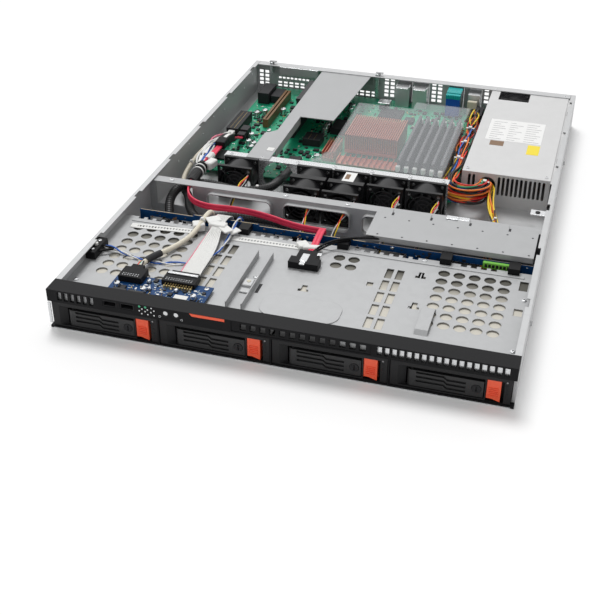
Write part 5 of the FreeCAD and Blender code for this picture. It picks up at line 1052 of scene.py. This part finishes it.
def build_main_board():
    """Capacitors, chips, strokes, pins and plugs on the main board, and the memory's clips and edges."""
    parts = Kit("main_board_parts", slot="green_board")
    avoid = list(BOARD_KEEP_OUT)
    for x, y, radius, height in CANS:
        avoid.append((x - radius, x + radius, y - radius, y + radius))
        can(parts, x, y, BOARD_TOP, radius, height)
    silk(parts, BOARD_TOP, avoid, *BOARD_STROKES)
    for field in BOARD_CHIPS:
        scatter(parts, BOARD_TOP, avoid, *field)
    for left, wide, front, length, height in HEADERS:
        top = BOARD_TOP + height
        for row in range(int((length - 3) / HEADER_PITCH)):
            for column in HEADER_COLUMNS:
                x, y = left + wide * column, front + 2.4 + row * HEADER_PITCH
                parts.box(GOLD, x, x + 0.9, y, y + 0.9, top - 0.1, top + 0.2)
    for index in range(MEMORY_COUNT):
        x = MEMORY_FIRST + MEMORY_PITCH * index
        for y in MEMORY_CLIPS:
            parts.box(WHITE, x - 2.6, x + 2.6, y - 0.2, y + 4.6, *MEMORY_CLIP)
        parts.box(SILVER, x - 0.5, x + 0.5, *MEMORY_EDGE)
    parts.blocks(BOARD_BLOCKS)
    parts.done()


PORT_BLOCKS = [
    (PORT_BLUE, 54, 72, 574, 579.1, 8.7, 32.6, 0.4), (TEAL, 53.6, 72.4, 573.5, 579.1, 32.8, 38.4, 0.4),
    (TEAL, 53.6, 72.4, 579, 598, 38.5, 39.4, 0.3), (SILVER, -14, 2, 581, 598, 36.55, 36.8, 0.1),
    (SILVER, 9, 25, 581, 598, 36.55, 36.8, 0.1), (SILVER, -34, -18, 566, 580, BOARD_TOP - 0.05, 20, 0.5),
    (DARK, -31.5, -20.5, 565.8, 566.3, 11, 17.5), (IVORY, 82, 94, 574, 579.1, 12, 32, 0.6)]
PORT_RIBS, RIB_FIRST, RIB_PITCH, RIB_WIDTH = 6, 55, 3, 1.3
RIB_FACES = ((572.6, 573.7, 33.4, 37.8, 0.2), (580, 596, 39.3, 39.8, 0.2))
HOOKS = (-191, -43)
HOOK_PARTS = ((-3, 3, 605, 606.2, 30, 46, 0.4), (-3, 7, 602, 606.2, 45, 46.2, 0.4))
REAR_BLOCKS = [
    (SHINY, -46, -41, 600.4, 602, 12, 45, 0.3), (SHINY, -193, -189, 600.4, 602, 28, 45, 0.3),
    (GREY_STEEL, -178, -124, 597, 598.2, 30, 41.2, 0.4), (SHINY, -178, -124, 596.4, 603, 41, 41.8, 0.3)]


def build_ports():
    """The coloured bodies of the stacked rear ports, and the rear wall's hooks, posts and bracket."""
    stack = Kit("port_bodies", slot="port_metal")
    stack.blocks(PORT_BLOCKS)
    for index in range(PORT_RIBS):
        x = RIB_FIRST + index * RIB_PITCH
        stack.blocks((TEAL, x, x + RIB_WIDTH, *face) for face in RIB_FACES)
    stack.done()
    hooks = Kit("rear_hooks", slot="galvanised_steel")
    for x in HOOKS:
        hooks.blocks((GREY_STEEL, x + left, x + right, *rest) for left, right, *rest in HOOK_PARTS)
    hooks.blocks(REAR_BLOCKS)
    hooks.done()


STICK_LOW, STICK_HIGH = SUPPLY_TOP - 0.05, SUPPLY_TOP + 0.12
SUPPLY_LABELS = [
    (LABEL, 122, 187, 447, 508, STICK_LOW, STICK_HIGH), (BROWN, 129, 145, 432, 445, STICK_LOW, STICK_HIGH),
    (YELLOW_PLATE, 173, 187, 417, 443, STICK_LOW, STICK_HIGH)]
STROKES, STROKE_ROWS = ((14, 10, 18), (9, 16, 12), (16, 7, 15)), 9
STROKE_LEFT, STROKE_FRONT, COLUMN_STEP, ROW_STEP = 126, 450.5, 20, 6.2
SUPPLY_SCREWS = [(115, 363), (202, 363), (115, 602), (202, 602)]
GUARD_BARS, GUARD_FIRST, GUARD_PITCH, GUARD_X, GUARD_Z = 6, 575, 4.4, (120.6, 140, 159.4), 40.5
LEDGE = [
    (SUPPLY, 206.9, 213.4, 352, 606, 39, 40, 0.2), (DARK, 208.6, 211.4, 405, 418, 39.95, 40.06),
    (DARK, 208.6, 211.4, 545, 558, 39.95, 40.06)]


def build_supply():
    """Blank labels, screws, the fan's guard and the side ledge of the power supply."""
    case = Kit("supply_fittings", slot="galvanised_steel")
    case.blocks(SUPPLY_LABELS)
    for row in range(STROKE_ROWS):
        for column, wide in enumerate(STROKES[row % len(STROKES)]):
            x, y = STROKE_LEFT + column * COLUMN_STEP, STROKE_FRONT + row * ROW_STEP
            case.box(JACKETS["grey"], x, x + wide, y, y + 0.9, SUPPLY_TOP + 0.1, SUPPLY_TOP + 0.16)
    for x, y in SUPPLY_SCREWS:
        case.screw(x, y, SUPPLY_TOP, 2)
    for index in range(GUARD_BARS):
        y = GUARD_FIRST + index * GUARD_PITCH
        case.sweep(DARK, [at(x, y, GUARD_Z) for x in GUARD_X], circle(0.5, 6))
    case.blocks(LEDGE)
    case.done()


BUNDLE_TIES = [(137, 346, 30.7), (99.1, 400, 30), (99.5, 446, 29.2), (98.5, 492, 27.4)]
TIE_OUTER, TIE_INNER, TIE_ABOVE, TIE_BAND = 5.2, 4.5, 4.2, 0.7
CORD_TIES = [
    (USB_ROUTE, 0.25, 2.9), (USB_ROUTE, 0.74, 2.9), (USB_ROUTE, 0.86, 2.9), (LOOM_ROUTE, 0.3, 4.3),
    (LOOM_ROUTE, 0.62, 4.3), (FLOOR_BUNDLE, 0.42, 2.6)]


def build_ties():
    """White ties round the bundles and the long cords."""
    ties = Kit("cable_ties", slot="white_plastic")
    for x, y, z in BUNDLE_TIES:
        low, high = z - BUNDLE_DROP - TIE_ABOVE, z + TIE_ABOVE
        for x0, x1, z0, z1 in ((-TIE_OUTER, TIE_OUTER, high, high + TIE_BAND),
                               (-TIE_OUTER, TIE_OUTER, low - TIE_BAND, low),
                               (-TIE_OUTER, -TIE_INNER, low, high), (TIE_INNER, TIE_OUTER, low, high)):
            ties.box(WHITE, x + x0, x + x1, y - 1.3, y + 1.3, z0, z1, 0.2)
        ties.box(WHITE, x - 2, x + 2, y - 2.2, y + 2.2, z + 4.8, z + 6.8, 0.4)
    for route, share, radius in CORD_TIES:
        line = spline_line(route, 2)
        index = round(share * (len(line) - 1))
        along = (line[index + 1] - line[index - 1]).normalized()
        place = Matrix.Translation(line[index]) @ along.to_track_quat("Z", "Y").to_matrix().to_4x4()
        ties.ring(WHITE, place, radius, 0.45, 1.2, sides=20)
        x, y, z = line[index] * 1000
        y -= BEZEL_FACE
        ties.box(WHITE, x - 1.6, x + 1.6, y - 1.6, y + 1.6, z + radius - 0.2, z + radius + 1.6, 0.4)
    ties.done()


build_main_board()
build_ports()
build_supply()
build_ties()


# Floor, daylight and camera

FRONT_SKY, BACK_SKY, FLOOR_LIFT = 0.36, 0.66, 0.05
SUNS = [("key", 1.6, 24, (-24, -14, 0)), ("fill", 0.26, 60, (42, -30, 0))]
CAMERA_AZIMUTH, CAMERA_ELEVATION, CAMERA_ROLL = math.radians(15.91), math.radians(33.40), math.radians(0.40)
CAMERA_PLACE, CAMERA_LENS, CAMERA_SENSOR = at(241.06, -727.17, 567.15), 62.65, 36


def build_floor():
    """A white floor, lifted a little where the camera sees it."""
    bpy.ops.mesh.primitive_plane_add(size=12, location=(0, 2, 0))
    floor = bpy.context.object
    floor.name = "floor"
    white = material("floor_white", (0.98, 0.98, 0.98), 0.9, 0, 0.005, 4, 0, Specular_IOR_Level=0)
    tree, link = white.node_tree, white.node_tree.links.new
    lift = add(tree, "MapRange", {"To Max": FLOOR_LIFT})
    link(add(tree, "LightPath").outputs["Is Camera Ray"], lift.inputs["Value"])
    shader = tree.nodes["Principled BSDF"]
    shader.inputs["Emission Color"].default_value = (1, 1, 1, 1)
    link(lift.outputs["Result"], shader.inputs["Emission Strength"])
    floor.data.materials.append(white)


def build_daylight():
    """A white sky that lights more from behind than from the front, and two soft suns."""
    world = bpy.data.worlds.new("studio")
    bpy.context.scene.world = world
    world.use_nodes = True
    tree, link = world.node_tree, world.node_tree.links.new
    back = tree.nodes["Background"]
    back.inputs["Color"].default_value = (1, 1, 1, 1)
    path = add(tree, "LightPath")
    seen = path.outputs["Is Camera Ray"]
    for kind in ("Is Glossy Ray", "Is Transmission Ray"):
        most = add(tree, "Math", operation="MAXIMUM")
        link(seen, most.inputs[0])
        link(path.outputs[kind], most.inputs[1])
        seen = most.outputs[0]
    way = add(tree, "SeparateXYZ")
    link(add(tree, "TexCoord").outputs["Generated"], way.inputs["Vector"])
    sky = add(tree, "MapRange", {"From Min": -1, "From Max": 1, "To Min": FRONT_SKY, "To Max": BACK_SKY})
    link(way.outputs["Y"], sky.inputs["Value"])
    level = add(tree, "MapRange", {"To Max": 1})
    link(sky.outputs["Result"], level.inputs["To Min"])
    link(seen, level.inputs["Value"])
    link(level.outputs["Result"], back.inputs["Strength"])
    for name, energy, angle, turn in SUNS:
        light = bpy.data.lights.new(name, "SUN")
        light.energy = energy
        light.angle = math.radians(angle)
        item = bpy.data.objects.new(name, light)
        item.rotation_euler = [math.radians(t) for t in turn]
        bpy.context.scene.collection.objects.link(item)


def build_camera():
    """The photograph's camera, from the angles that were fitted to it."""
    flat = math.cos(CAMERA_ELEVATION)
    back = Vector((math.sin(CAMERA_AZIMUTH) * flat, -math.cos(CAMERA_AZIMUTH) * flat,
                   math.sin(CAMERA_ELEVATION)))
    right = (-back).cross(UPRIGHT).normalized()
    up = right.cross(-back)
    tilted = right * math.cos(CAMERA_ROLL) + up * math.sin(CAMERA_ROLL)
    upright = up * math.cos(CAMERA_ROLL) - right * math.sin(CAMERA_ROLL)
    lens = bpy.data.cameras.new("photo_camera")
    lens.lens, lens.sensor_width = CAMERA_LENS, CAMERA_SENSOR
    camera = bpy.data.objects.new("photo_camera", lens)
    turn = Matrix((tilted, upright, back)).transposed().to_4x4()
    camera.matrix_world = Matrix.Translation(CAMERA_PLACE) @ turn
    scene = bpy.context.scene
    scene.collection.objects.link(camera)
    scene.camera = camera
    scene.view_settings.view_transform = "Standard"


build_floor()
build_daylight()
build_camera()
